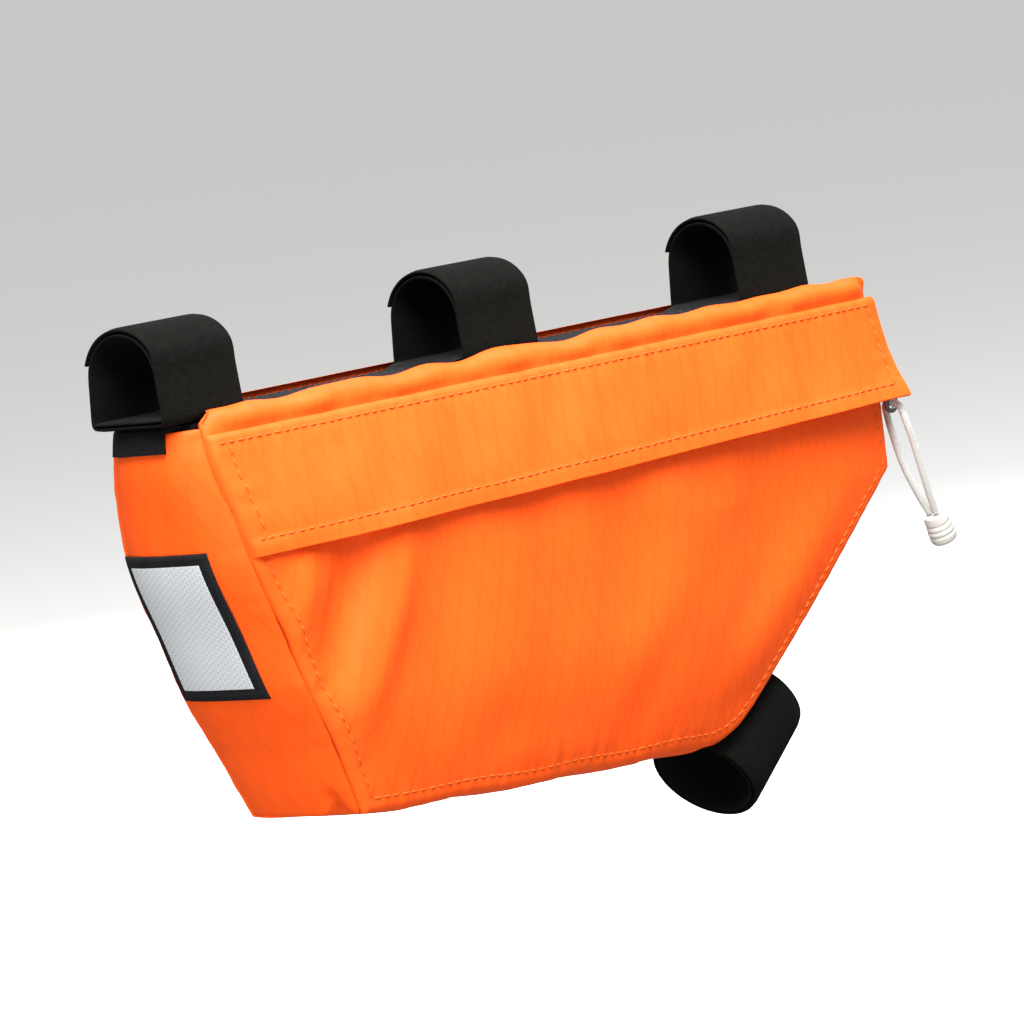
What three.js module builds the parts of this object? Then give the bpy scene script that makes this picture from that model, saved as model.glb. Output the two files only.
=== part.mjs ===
// A bicycle frame bag: a soft hollow pouch that hangs under a bicycle's top tube by three hook-and-loop
// straps, with a fourth strap round the down tube at its lower front corner.
// Millimetres. The origin is on the top tube's axis at the middle strap, +X runs forward along the tube,
// +Y is the rider's left and +Z is up. The zip and its flap are on the right side, at negative Y.
import * as THREE from "three";

const { lerp, clamp, degToRad, smoothstep } = THREE.MathUtils;

// Tubes that the bag hangs on
const TOP_TUBE_DIAMETER = 25.4;
const DOWN_TUBE_DIAMETER = 31.8;

// Thicknesses and clearances
const CLOTH = 1.5;
const SEAM_GAP = 0.3;
const TUBE_CLEARANCE = 0.4;
const WEBBING_CLEARANCE = 0.2;

// Outline of the bag seen from the side, along the tube (x) and up (z)
const TOP_Z = -13;
const REAR_BOTTOM_Z = -148;
const LOWEST_Z = -157;
const FRONT_TOP_X = 192;
const KNEE = new THREE.Vector2(187.3, -79.5);
const DOWN_TUBE_SLOPE = degToRad(38);
const LOWER_CORNER_RADIUS = 45;
const REAR_CORNER_RADIUS = 6;
const FRONT_CORNER_RADIUS = 3;

// Cross sections from the top edge down: the depth below the top edge at the rear, the place of the rear
// seam along the tube, and half the bag's width at the rear seam, the middle and the front seam
const SECTIONS = [
  { drop: 0, rearX: -151, rear: 18.5, middle: 20, front: 18 },
  { drop: 17, rearX: -151.5, rear: 22.3, middle: 25, front: 20 },
  { drop: 40, rearX: -147.3, rear: 27, middle: 30, front: 22 },
  { drop: 72, rearX: -135.3, rear: 28.5, middle: 33, front: 23 },
  { drop: 97, rearX: -124.7, rear: 28.5, middle: 32.5, front: 23 },
  { drop: 117, rearX: -115, rear: 27, middle: 29.5, front: 22 },
  { drop: 135, rearX: -106, rear: 25, middle: 26, front: 20 },
];

// Slack folds in the lower right side panel: from one point to another, how far the cloth rises (or
// sinks, where negative) along the fold, and how wide the fold is
const FOLDS = [
  { fromX: -80, fromZ: -63, toX: -121, toZ: -122, rise: 1.8, width: 7 },
  { fromX: -99, fromZ: -62, toX: -119, toZ: -100, rise: -1.8, width: 6 },
  { fromX: -117, fromZ: -66, toX: -129, toZ: -90, rise: 1.4, width: 5 },
  { fromX: -20, fromZ: -62, toX: -34, toZ: -128, rise: 1.0, width: 12 },
  { fromX: 60, fromZ: -60, toX: 52, toZ: -120, rise: 0.9, width: 12 },
];

// How far the middle of a gusset panel stands out from its seams
const REAR_CROWN_TOP = 8;
const REAR_CROWN_BOTTOM = 3;
const BOTTOM_CROWN = 2;
const FRONT_CROWN = 2;

// Shares of the way along the bottom and down-tube panels between which the down tube's pressure comes in
// and fades out again
const PRESS_IN = { from: 0.7, to: 0.85 };
const PRESS_OUT = { from: 0.2, to: 1 };

// Top panel with its apron over the rear panel, and the webbing that holds the straps on it
const WEBBING_WIDTH = 28;
const WEBBING = 1.2;
const WEBBING_RAMP = 9;
const WEBBING_FRONT_X = 180;
const APRON_LENGTH = 6.5;
const APRON_LEFT = 15.5;
const APRON_RIGHT = -9.5;

// Hook-and-loop straps
const STRAP = 1.6;
const STRAP_WIDTH = 38;
const STRAP_SPACING = 146;
const STRAP_FLAT_HALF = WEBBING_WIDTH / 2 + TUBE_CLEARANCE;
const DOWN_STRAP_FROM_KNEE = 111;
const DOWN_STRAP_FLAT_HALF = 5;
const DOWN_TUBE_AXIS_OUT = 14;

// Zip in the right side, and the flap that covers it
const ZIP_Z = -47;
const ZIP_OPENING = 7;
const ZIP_TAPE = 0.8;
const ZIP_TAPE_WIDTH = 26;
const ZIP_COIL_WIDTH = 5;
const ZIP_END_SHARE = 0.012;
const FLAP_TOP_Z = -20.5;
const FLAP_REAR_Z = -60;
const FLAP_FRONT_Z = -55;
const FLAP_OVERHANG = 2;
const FLAP_STAND_OFF = 2.5;
const FLAP_FRONT_FLARE = 6.5;
const FLAP_FLARE_FROM = 0.55;

// Slider under the flap's front end, and the cord pull that hangs from it
const SLIDER = { x: 186.5, y: -23.5, z: -48.5, length: 13, height: 9, thickness: 2.4, eye: 2 };
const SLIDER_TAB = { width: 7, length: 8 };
const SLIDER_BEVEL = { along: 3, share: 0.6 };
const CORD_DIAMETER = 2.5;
const CORD_FRONT_ROUTE = [
  [189.5, -24.9, -57.3],
  [189.5, -26.6, -57.5],
  [189.6, -28.3, -58.6],
  [189.8, -29.4, -61.0],
  [190.4, -30.0, -64.8],
  [192.6, -30.1, -71.5],
  [194.8, -29.9, -78.5],
  [197.2, -29.5, -85.5],
  [199.8, -28.9, -92.0],
  [202.6, -28.4, -97.7],
];
const CORD_REAR_ROUTE = [
  [189.5, -24.5, -57.3],
  [190.0, -22.7, -57.4],
  [191.1, -21.1, -58.5],
  [192.2, -20.5, -61.0],
  [193.0, -20.5, -64.8],
  [193.9, -21.3, -71.5],
  [195.2, -22.2, -78.5],
  [197.2, -23.5, -85.5],
  [199.8, -24.7, -92.0],
  [202.6, -25.6, -97.7],
];
const PULL_END = { x: 205.5, y: -27, z: -103.3, length: 11, width: 9.5, neck: 8, lean: degToRad(24) };

// Patch sewn on the rear panel
const LABEL = { left: 25.5, right: -14, topZ: -57, bottomZ: -106.5, thickness: 0.8 };

// Finishes
const ORANGE_CLOTH = new THREE.MeshStandardMaterial({ color: 0xff6f26, roughness: 0.6, metalness: 0 });
const FLAP_CLOTH = new THREE.MeshStandardMaterial({ color: 0xff8a35, roughness: 0.6, metalness: 0 });
const BLACK_WEBBING = new THREE.MeshStandardMaterial({ color: 0x1c1d1b, roughness: 0.9, metalness: 0 });
const BLACK_ZIP = new THREE.MeshStandardMaterial({ color: 0x17181a, roughness: 0.7, metalness: 0 });
const LABEL_CLOTH = new THREE.MeshStandardMaterial({ color: 0x141416, roughness: 0.8, metalness: 0 });
const SLIDER_METAL = new THREE.MeshStandardMaterial({ color: 0x8d9096, roughness: 0.4, metalness: 1 });
const PALE_CORD = new THREE.MeshStandardMaterial({ color: 0xd8d8d4, roughness: 0.8, metalness: 0 });

// Steps of the meshes: along the bag and across a gusset, and down the other panels and round the rest
const STEPS_LONG = 34;
const STEPS_ACROSS = 6;
const ROW_HEIGHT = 9;
const GUSSET_STEPS = { rear: 14, bottom: 14, corner: 5, downTube: 8, front: 5 };
const FLAP_STEPS = 5;
const ZIP_STEPS = 2;
const APRON_STEPS = 2;
const STRAP_STEPS = 22;
const CORD_STEPS = 10;
const CORD_SIDES = 8;
const PULL_END_SIDES = 12;

const TUBE_UNDERSIDE = -(TOP_TUBE_DIAMETER / 2 + WEBBING_CLEARANCE);
const WEBBING_OVER_STRAP_Z = TUBE_UNDERSIDE - WEBBING;
const STRAP_TOP_Z = WEBBING_OVER_STRAP_Z - SEAM_GAP;
const TOP_PANEL_Z = STRAP_TOP_Z - STRAP - SEAM_GAP;
const REAR_HEIGHT = TOP_Z - REAR_BOTTOM_Z;
const FRONT_HEIGHT = TOP_Z - LOWEST_Z;
const RIGHT = -1;
const LEFT = 1;

const DOWN_TUBE_ALONG = new THREE.Vector2(-Math.cos(DOWN_TUBE_SLOPE), -Math.sin(DOWN_TUBE_SLOPE));
const DOWN_TUBE_OUT = new THREE.Vector2(Math.sin(DOWN_TUBE_SLOPE), -Math.cos(DOWN_TUBE_SLOPE));
const ARC_START_Z = LOWEST_Z + LOWER_CORNER_RADIUS * (1 - Math.cos(DOWN_TUBE_SLOPE));
const ARC_START_X = KNEE.x - (KNEE.y - ARC_START_Z) / Math.tan(DOWN_TUBE_SLOPE);
const ARC_CENTRE_X = ARC_START_X - LOWER_CORNER_RADIUS * Math.sin(DOWN_TUBE_SLOPE);
const ARC_CENTRE_Z = LOWEST_Z + LOWER_CORNER_RADIUS;

const zipLevel = (TOP_Z - ZIP_Z) / FRONT_HEIGHT;

const sectionCurve = new THREE.CubicInterpolant(
  SECTIONS.map((s) => s.drop / REAR_HEIGHT),
  SECTIONS.flatMap((s) => [s.rearX, s.rear, s.middle, s.front]),
  4,
);

// The section at a level, from 0 at the top edge to 1 at the bottom
function sectionAt(level) {
  const [rearX, rear, middle, front] = sectionCurve.evaluate(clamp(level, 0, 1));
  return { rearX, rear, middle, front };
}

// How far a rounded corner has pulled in at a depth below the edge
function cornerPull(radius, depth) {
  const short = Math.max(0, radius - depth);
  return radius - Math.sqrt(radius ** 2 - short ** 2);
}

// The front edge's place along the tube at a height: upright, then along the down tube, then round the corner
function frontX(z) {
  if (z > KNEE.y) {
    const share = (TOP_Z - z) / (TOP_Z - KNEE.y);
    return lerp(FRONT_TOP_X, KNEE.x, share) - cornerPull(FRONT_CORNER_RADIUS, TOP_Z - z);
  }
  if (z > ARC_START_Z) return KNEE.x - (KNEE.y - z) / Math.tan(DOWN_TUBE_SLOPE);
  const below = Math.min(ARC_CENTRE_Z - z, LOWER_CORNER_RADIUS);
  return ARC_CENTRE_X + Math.sqrt(LOWER_CORNER_RADIUS ** 2 - below ** 2);
}

// A point of the side outline: u runs from the rear seam to the front seam, level from the top to the bottom
function outline(u, level) {
  const frontZ = TOP_Z - level * FRONT_HEIGHT;
  const rearZ = TOP_Z - level * REAR_HEIGHT;
  const rearX = sectionAt(level).rearX + cornerPull(REAR_CORNER_RADIUS, TOP_Z - rearZ);
  return new THREE.Vector2(lerp(rearX, frontX(frontZ), u), lerp(rearZ, frontZ, u));
}

// The level of a height, at a share u of the way forward
function levelAt(u, z) {
  return (TOP_Z - z) / lerp(REAR_HEIGHT, FRONT_HEIGHT, u);
}

// Half the bag's width: a parabola through the section's rear, middle and front widths
function halfWidth(u, level) {
  const { rear, middle, front } = sectionAt(level);
  return rear * (1 - u) * (1 - 2 * u) + middle * 4 * u * (1 - u) + front * u * (2 * u - 1);
}

// How far the slack folds lift the right side at a point of its outline
function foldRise(point) {
  let rise = 0;
  for (const fold of FOLDS) {
    const from = new THREE.Vector2(fold.fromX, fold.fromZ);
    const along = new THREE.Vector2(fold.toX, fold.toZ).sub(from);
    const offset = point.clone().sub(from);
    const share = offset.dot(along) / along.lengthSq();
    const aside = offset.cross(along) / along.length();
    const fade = Math.max(0, 1 - (2 * share - 1) ** 2);
    rise += fold.rise * fade * Math.exp(-((aside / fold.width) ** 2));
  }
  return rise;
}

// A point at a depth inside the outer face of a side panel, or outside it where the depth is negative
function sidePoint(side, u, level, depth) {
  const at = outline(u, level);
  const lift = side === RIGHT ? foldRise(at) : 0;
  return new THREE.Vector3(at.x, side * (halfWidth(u, level) + lift - depth), at.y);
}

// A closed wall between an outer and an inner grid of points, given by functions of a row and a column
function wall(rows, columns, outerAt, innerAt) {
  const positions = [];
  const index = [];
  const stride = columns + 1;
  const layer = (rows + 1) * stride;
  for (const at of [outerAt, innerAt]) {
    for (let r = 0; r <= rows; r++) {
      for (let c = 0; c <= columns; c++) positions.push(...at(r, c).toArray());
    }
  }
  const quad = (a, b, c, d) => index.push(a, b, c, a, c, d);
  for (let r = 0; r < rows; r++) {
    for (let c = 0; c < columns; c++) {
      const a = r * stride + c;
      quad(a, a + stride, a + stride + 1, a + 1);
      quad(layer + a, layer + a + 1, layer + a + stride + 1, layer + a + stride);
    }
  }
  for (let c = 0; c < columns; c++) {
    const last = rows * stride + c;
    quad(c, c + 1, layer + c + 1, layer + c);
    quad(last + 1, last, layer + last, layer + last + 1);
  }
  for (let r = 0; r < rows; r++) {
    const a = r * stride;
    const b = a + columns;
    quad(a + stride, a, layer + a, layer + a + stride);
    quad(b, b + stride, layer + b + stride, layer + b);
  }
  return facingOut(positions, index);
}

// The geometry of a closed surface, with its triangles turned to face out
function facingOut(positions, index) {
  const corner = (i) => new THREE.Vector3().fromArray(positions, 3 * index[i]);
  let volume = 0;
  for (let i = 0; i < index.length; i += 3) {
    volume += corner(i).dot(corner(i + 1).cross(corner(i + 2)));
  }
  const geometry = new THREE.BufferGeometry();
  geometry.setAttribute("position", new THREE.Float32BufferAttribute(positions, 3));
  geometry.setIndex(volume > 0 ? index : index.reverse());
  geometry.computeVertexNormals();
  return geometry;
}

// Levels at which a side panel has rows, from one level to another, with a row at the knee
function panelLevels(from, to) {
  const kneeLevel = (TOP_Z - KNEE.y) / FRONT_HEIGHT;
  const arcLevel = (TOP_Z - ARC_START_Z) / FRONT_HEIGHT;
  const stops = [from, kneeLevel, arcLevel, to].filter((level) => level >= from && level <= to);
  const levels = [from];
  for (let i = 1; i < stops.length; i++) {
    const steps = Math.max(1, Math.round((stops[i] - stops[i - 1]) * FRONT_HEIGHT / ROW_HEIGHT));
    for (let s = 1; s <= steps; s++) levels.push(lerp(stops[i - 1], stops[i], s / steps));
  }
  return levels;
}

// A side panel, or a strip of one, between two levels
function sidePanel(side, from, to) {
  const levels = panelLevels(from, to);
  return wall(
    levels.length - 1,
    STEPS_LONG,
    (r, c) => sidePoint(side, c / STEPS_LONG, levels[r], 0),
    (r, c) => sidePoint(side, c / STEPS_LONG, levels[r], CLOTH),
  );
}

// A gusset panel between the side panels, along stops of the outline given as [u, level] pairs. The ends
// are moved along the outline by their trims. The middle stands out by a crown, a function of the share of
// the way along, whose profile is flatter the higher its power.
function gussetPanel(stops, { startTrim = 0, endTrim = 0, crown, crownPower = 2, crownAxis = null }) {
  const points = stops.map(([u, level]) => outline(u, level));
  const halves = stops.map(([u, level]) => halfWidth(u, level) - CLOTH - SEAM_GAP);
  const last = points.length - 1;
  points[0].add(points[1].clone().sub(points[0]).setLength(startTrim));
  points[last].add(points[last - 1].clone().sub(points[last]).setLength(endTrim));
  const inward = points.map((point, i) => {
    const ahead = points[Math.min(i + 1, last)].clone().sub(points[Math.max(i - 1, 0)]);
    return new THREE.Vector2(-ahead.y, ahead.x).normalize();
  });
  const at = (r, c, depth) => {
    const across = (2 * c) / STEPS_ACROSS - 1;
    const rise = crown(r / last) * (1 - Math.abs(across) ** crownPower);
    const place = points[r].clone().addScaledVector(inward[r], depth);
    place.addScaledVector(crownAxis ?? inward[r], -rise);
    return new THREE.Vector3(place.x, across * halves[r], place.y);
  };
  return wall(last, STEPS_ACROSS, (r, c) => at(r, c, 0), (r, c) => at(r, c, CLOTH));
}

// Evenly spaced [u, level] stops between two of them
function stopsBetween([u0, level0], [u1, level1], steps) {
  return Array.from({ length: steps + 1 }, (_, i) => [
    lerp(u0, u1, i / steps),
    lerp(level0, level1, i / steps),
  ]);
}

// The rear panel's outer face on its crowned middle: its place along the tube at a height and across
function rearFaceX(y, z) {
  const level = levelAt(0, z);
  const top = levelAt(0, TOP_PANEL_Z - CLOTH);
  const half = halfWidth(0, level) - CLOTH - SEAM_GAP;
  const crown = lerp(REAR_CROWN_TOP, REAR_CROWN_BOTTOM, (level - top) / (1 - top));
  return outline(0, level).x - crown * (1 - (y / half) ** 2);
}

// The top panel between the side panels: flat from the front panel to the rear, where it folds down over
// the rear panel as an apron
function topPanel() {
  const rows = STEPS_LONG + APRON_STEPS;
  const at = (r, c, depth) => {
    const share = c / STEPS_ACROSS;
    const u = Math.max(0, 1 - r / STEPS_LONG);
    const half = halfWidth(u, levelAt(u, TOP_PANEL_Z)) - CLOTH - SEAM_GAP;
    const y = r < STEPS_LONG ? lerp(-half, half, share) : lerp(APRON_RIGHT, APRON_LEFT, share);
    const front = frontX(TOP_PANEL_Z) - CLOTH - FRONT_CROWN;
    const top = TOP_PANEL_Z - CLOTH;
    if (r < STEPS_LONG) return new THREE.Vector3(lerp(rearFaceX(y, top), front, u), y, top + depth);
    const fall = (r - STEPS_LONG) / APRON_STEPS;
    const z = top - APRON_LENGTH * fall + (fall === 0 ? depth : 0);
    return new THREE.Vector3(rearFaceX(y, Math.min(z, top)) - SEAM_GAP - depth, y, z);
  };
  return wall(rows, STEPS_ACROSS, (r, c) => at(r, c, CLOTH), (r, c) => at(r, c, 0));
}

// The webbing along the top panel, which rises over each strap
function topWebbing(strapPlaces) {
  const strapHalf = STRAP_WIDTH / 2 + 2 * SEAM_GAP;
  const rearEnd = Math.min(...strapPlaces) - STRAP_WIDTH / 2;
  const stops = [WEBBING_FRONT_X, rearEnd];
  for (const x of strapPlaces) {
    stops.push(x + strapHalf + WEBBING_RAMP, x + strapHalf, x - strapHalf, x - strapHalf - WEBBING_RAMP);
  }
  const run = stops.filter((x) => x >= rearEnd && x <= WEBBING_FRONT_X).sort((a, b) => b - a);
  const lowZ = TOP_PANEL_Z + SEAM_GAP;
  const heightAt = (x) => {
    const nearest = Math.min(...strapPlaces.map((place) => Math.abs(x - place)));
    return lerp(WEBBING_OVER_STRAP_Z, lowZ, clamp((nearest - strapHalf) / WEBBING_RAMP, 0, 1));
  };
  const at = (r, c, depth) => {
    const y = WEBBING_WIDTH * (c - 0.5);
    return new THREE.Vector3(run[r], y, heightAt(run[r]) + depth);
  };
  return wall(run.length - 1, 1, (r, c) => at(r, c, WEBBING), (r, c) => at(r, c, 0));
}

// The inner line of a strap loop, as the distance from the tube's axis at an angle from the flat run: a
// circle round the tube, joined to the flat run by straight legs
function loopReach(angle, radius, flatDistance, flatHalf) {
  const corner = Math.atan2(flatHalf, flatDistance);
  const cornerReach = Math.hypot(flatHalf, flatDistance);
  const tangent = corner + Math.acos(radius / cornerReach);
  const turn = Math.abs(angle);
  if (turn <= corner) return flatDistance / Math.cos(turn);
  if (turn <= tangent) return radius / Math.cos(tangent - turn);
  return radius;
}

// A strap loop round a tube, one layer thick on its flat run and two where its ends overlap. The flat run
// faces local +X, and the tube lies along local Z.
function strapLoop(radius, flatDistance, flatHalf) {
  const corner = Math.atan2(flatHalf, flatDistance);
  const tangent = corner + Math.acos(radius / Math.hypot(flatHalf, flatDistance));
  const angles = [-Math.PI + 1e-6];
  for (let i = 1; i <= STRAP_STEPS; i++) angles.push(lerp(-Math.PI, -tangent, i / STRAP_STEPS));
  angles.push(-corner, 0, corner);
  for (let i = 0; i < STRAP_STEPS; i++) angles.push(lerp(tangent, Math.PI, i / STRAP_STEPS));
  const place = (angle, out) => {
    const reach = loopReach(angle, radius, flatDistance, flatHalf) + out;
    return new THREE.Vector2(reach * Math.cos(angle), reach * Math.sin(angle));
  };
  const outer = angles.map((angle) => place(angle, Math.abs(angle) > tangent ? 2 * STRAP : STRAP));
  const shape = new THREE.Shape(outer);
  shape.holes.push(new THREE.Path(angles.map((angle) => place(angle, 0))));
  const geometry = new THREE.ExtrudeGeometry(shape, { depth: STRAP_WIDTH, bevelEnabled: false });
  return geometry.translate(0, 0, -STRAP_WIDTH / 2);
}

// The flap's outer or inner face: it leaves the side panel at the top and stands off it further down
function flapPoint(u, share, depth) {
  const lowZ = lerp(FLAP_REAR_Z, FLAP_FRONT_Z, u);
  const level = levelAt(u, lerp(FLAP_TOP_Z, lowZ, share));
  const flare = FLAP_FRONT_FLARE * Math.max(0, (u - FLAP_FLARE_FROM) / (1 - FLAP_FLARE_FROM)) ** 2;
  const standOff = SEAM_GAP + share * FLAP_STAND_OFF + share ** 2 * flare;
  return sidePoint(RIGHT, u, level, depth - standOff - CLOTH);
}

function flap() {
  const front = 1 + FLAP_OVERHANG / (FRONT_TOP_X - SECTIONS[0].rearX);
  const at = (r, c, depth) => flapPoint((front * c) / STEPS_LONG, r / FLAP_STEPS, depth);
  return wall(FLAP_STEPS, STEPS_LONG, (r, c) => at(r, c, 0), (r, c) => at(r, c, CLOTH));
}

// A band along the zip behind or in its opening, of a given height and between two depths
function zipBand(height, outerDepth, innerDepth) {
  const at = (r, c, depth) => {
    const u = lerp(ZIP_END_SHARE, 1 - ZIP_END_SHARE, c / STEPS_LONG);
    const level = zipLevel + (height * (r / ZIP_STEPS - 0.5)) / FRONT_HEIGHT;
    return sidePoint(RIGHT, u, level, depth);
  };
  return wall(ZIP_STEPS, STEPS_LONG, (r, c) => at(r, c, outerDepth), (r, c) => at(r, c, innerDepth));
}

// The slider: a body over the coil with a tab that hangs forward and has an eye for the cord
function zipSlider() {
  const halfLength = SLIDER.length / 2;
  const halfHeight = SLIDER.height / 2;
  const tabHalf = SLIDER_TAB.width / 2;
  const shape = new THREE.Shape();
  shape.moveTo(-halfLength, -halfHeight * SLIDER_BEVEL.share);
  shape.lineTo(-halfLength + SLIDER_BEVEL.along, -halfHeight);
  shape.lineTo(halfLength - SLIDER_TAB.width, -halfHeight);
  shape.lineTo(halfLength - SLIDER_TAB.width, -halfHeight - SLIDER_TAB.length + tabHalf);
  shape.absarc(halfLength - tabHalf, -halfHeight - SLIDER_TAB.length + tabHalf, tabHalf, Math.PI, 2 * Math.PI);
  shape.lineTo(halfLength, halfHeight * SLIDER_BEVEL.share);
  shape.lineTo(halfLength - SLIDER_BEVEL.along, halfHeight);
  shape.lineTo(-halfLength, halfHeight * SLIDER_BEVEL.share);
  const eye = new THREE.Path();
  eye.absarc(halfLength - tabHalf, -halfHeight - SLIDER_TAB.length + tabHalf, SLIDER.eye, 0, 2 * Math.PI);
  shape.holes.push(eye);
  const options = { depth: SLIDER.thickness, bevelEnabled: false, curveSegments: 8 };
  return new THREE.ExtrudeGeometry(shape, options);
}

// A tube along a route of points
function cordTube(route) {
  const path = new THREE.CatmullRomCurve3(route.map((point) => new THREE.Vector3(...point)));
  const section = new THREE.Shape();
  for (let i = 0; i < CORD_SIDES; i++) {
    const angle = (2 * Math.PI * i) / CORD_SIDES;
    const x = (CORD_DIAMETER / 2) * Math.cos(angle);
    const y = (CORD_DIAMETER / 2) * Math.sin(angle);
    if (i === 0) section.moveTo(x, y);
    else section.lineTo(x, y);
  }
  return new THREE.ExtrudeGeometry(section, { steps: CORD_STEPS, extrudePath: path, bevelEnabled: false });
}

// The moulded end that holds both strands of the cord: a short rounded bead, wider at its foot
function pullEnd() {
  const half = PULL_END.length / 2;
  const foot = PULL_END.width / 2;
  const profile = [
    new THREE.Vector2(0, -half),
    new THREE.Vector2(foot * 0.7, -half),
    new THREE.Vector2(foot, -half * 0.6),
    new THREE.Vector2(foot, -half * 0.1),
    new THREE.Vector2(PULL_END.neck / 2, half * 0.9),
    new THREE.Vector2(PULL_END.neck / 2 - 0.6, half),
    new THREE.Vector2(0, half),
  ];
  return new THREE.LatheGeometry(profile, PULL_END_SIDES);
}

// The patch on the rear panel, curved with the panel
function labelPatch() {
  const at = (r, c, depth) => {
    const y = lerp(LABEL.left, LABEL.right, c / STEPS_ACROSS);
    const z = lerp(LABEL.topZ, LABEL.bottomZ, r / STEPS_ACROSS);
    return new THREE.Vector3(rearFaceX(y, z) - SEAM_GAP - depth, y, z);
  };
  return wall(STEPS_ACROSS, STEPS_ACROSS, (r, c) => at(r, c, LABEL.thickness), (r, c) => at(r, c, 0));
}

const bag = new THREE.Group();

function addPiece(name, geometry, material) {
  const mesh = new THREE.Mesh(geometry, material.clone());
  mesh.name = name;
  bag.add(mesh);
  return mesh;
}

// Turns a piece so that its own axes point along the given directions, at a place
function setAxes(mesh, xAxis, yAxis, zAxis, place) {
  mesh.quaternion.setFromRotationMatrix(new THREE.Matrix4().makeBasis(xAxis, yAxis, zAxis));
  mesh.position.copy(place);
}

// Side panels: the left one is whole, the right one is split by the zip
const zipHalf = ZIP_OPENING / 2 / FRONT_HEIGHT;
addPiece("side_panel_left", sidePanel(LEFT, 0, 1), ORANGE_CLOTH);
addPiece("side_panel_right", sidePanel(RIGHT, zipLevel + zipHalf, 1), ORANGE_CLOTH);
addPiece("upper_strip_right", sidePanel(RIGHT, 0, zipLevel - zipHalf), ORANGE_CLOTH);

// Gusset panels round the outline, each butted against the one before it
const topLevelRear = levelAt(0, TOP_PANEL_Z - CLOTH);
const topLevelFront = levelAt(1, TOP_PANEL_Z);
const kneeLevel = levelAt(1, KNEE.y);
const arcLevel = levelAt(1, ARC_START_Z);
const buttTrim = CLOTH + 3 * SEAM_GAP;
const rearStops = stopsBetween([0, topLevelRear], [0, 1], GUSSET_STEPS.rear);
const cornerStops = stopsBetween([1, 1], [1, arcLevel], GUSSET_STEPS.corner);
const bottomStops = [...stopsBetween([0, 1], [1, 1], GUSSET_STEPS.bottom), ...cornerStops.slice(1)];
const downTubeStops = stopsBetween([1, arcLevel], [1, kneeLevel], GUSSET_STEPS.downTube);
const frontStops = stopsBetween([1, kneeLevel], [1, topLevelFront], GUSSET_STEPS.front);
const downLoopRadius = DOWN_TUBE_DIAMETER / 2 + TUBE_CLEARANCE;
const tubePress = downLoopRadius + STRAP + SEAM_GAP - DOWN_TUBE_AXIS_OUT;
const gussets = {
  rear_panel: gussetPanel(rearStops, {
    startTrim: SEAM_GAP,
    crown: (share) => lerp(REAR_CROWN_TOP, REAR_CROWN_BOTTOM, share),
    crownAxis: new THREE.Vector2(1, 0),
  }),
  bottom_panel: gussetPanel(bottomStops, {
    startTrim: buttTrim,
    endTrim: SEAM_GAP,
    crown: (share) => lerp(BOTTOM_CROWN, -tubePress, smoothstep(share, PRESS_IN.from, PRESS_IN.to)),
    crownPower: 4,
  }),
  down_tube_panel: gussetPanel(downTubeStops, {
    crown: (share) => lerp(-tubePress, 0, smoothstep(share, PRESS_OUT.from, PRESS_OUT.to)),
    crownPower: 4,
  }),
  front_panel: gussetPanel(frontStops, {
    startTrim: buttTrim,
    endTrim: SEAM_GAP,
    crown: (share) => FRONT_CROWN * share,
  }),
};
for (const [name, geometry] of Object.entries(gussets)) addPiece(name, geometry, ORANGE_CLOTH);
addPiece("top_panel", topPanel(), BLACK_WEBBING);

// Webbing and the straps round the top tube
const strapPlaces = { strap_rear: -STRAP_SPACING, strap_middle: 0, strap_front: STRAP_SPACING };
addPiece("top_webbing", topWebbing(Object.values(strapPlaces)), BLACK_WEBBING);
const topLoopRadius = TOP_TUBE_DIAMETER / 2 + TUBE_CLEARANCE;
const axisX = new THREE.Vector3(1, 0, 0);
const axisY = new THREE.Vector3(0, 1, 0);
const down = new THREE.Vector3(0, 0, -1);
for (const [name, x] of Object.entries(strapPlaces)) {
  const loop = strapLoop(topLoopRadius, -STRAP_TOP_Z, STRAP_FLAT_HALF);
  setAxes(addPiece(name, loop, BLACK_WEBBING), down, axisY, axisX, new THREE.Vector3(x, 0, 0));
}

// The strap round the down tube, whose flat run is sewn to the panel that the tube presses in
const downLoop = strapLoop(downLoopRadius, downLoopRadius, DOWN_STRAP_FLAT_HALF);
const downCentre = KNEE.clone()
  .addScaledVector(DOWN_TUBE_ALONG, DOWN_STRAP_FROM_KNEE)
  .addScaledVector(DOWN_TUBE_OUT, DOWN_TUBE_AXIS_OUT);
setAxes(
  addPiece("strap_down_tube", downLoop, BLACK_WEBBING),
  new THREE.Vector3(-DOWN_TUBE_OUT.x, 0, -DOWN_TUBE_OUT.y),
  axisY,
  new THREE.Vector3(DOWN_TUBE_ALONG.x, 0, DOWN_TUBE_ALONG.y),
  new THREE.Vector3(downCentre.x, 0, downCentre.y),
);

// Zip, flap and pull
addPiece("storm_flap", flap(), FLAP_CLOTH);
const tapeDepth = CLOTH + SEAM_GAP;
addPiece("zip_tape", zipBand(ZIP_TAPE_WIDTH, tapeDepth, tapeDepth + ZIP_TAPE), BLACK_ZIP);
addPiece("zip_coil", zipBand(ZIP_COIL_WIDTH, 0, CLOTH), BLACK_ZIP);
const slider = addPiece("zip_slider", zipSlider(), SLIDER_METAL);
slider.position.set(SLIDER.x, SLIDER.y, SLIDER.z);
slider.rotation.x = Math.PI / 2;
addPiece("pull_cord_front", cordTube(CORD_FRONT_ROUTE), PALE_CORD);
addPiece("pull_cord_rear", cordTube(CORD_REAR_ROUTE), PALE_CORD);
const end = addPiece("pull_end", pullEnd(), PALE_CORD);
end.position.set(PULL_END.x, PULL_END.y, PULL_END.z);
end.rotation.set(Math.PI / 2, 0, 0);
end.rotateZ(PULL_END.lean);

addPiece("label_patch", labelPatch(), LABEL_CLOTH);

export default bag;
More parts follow.
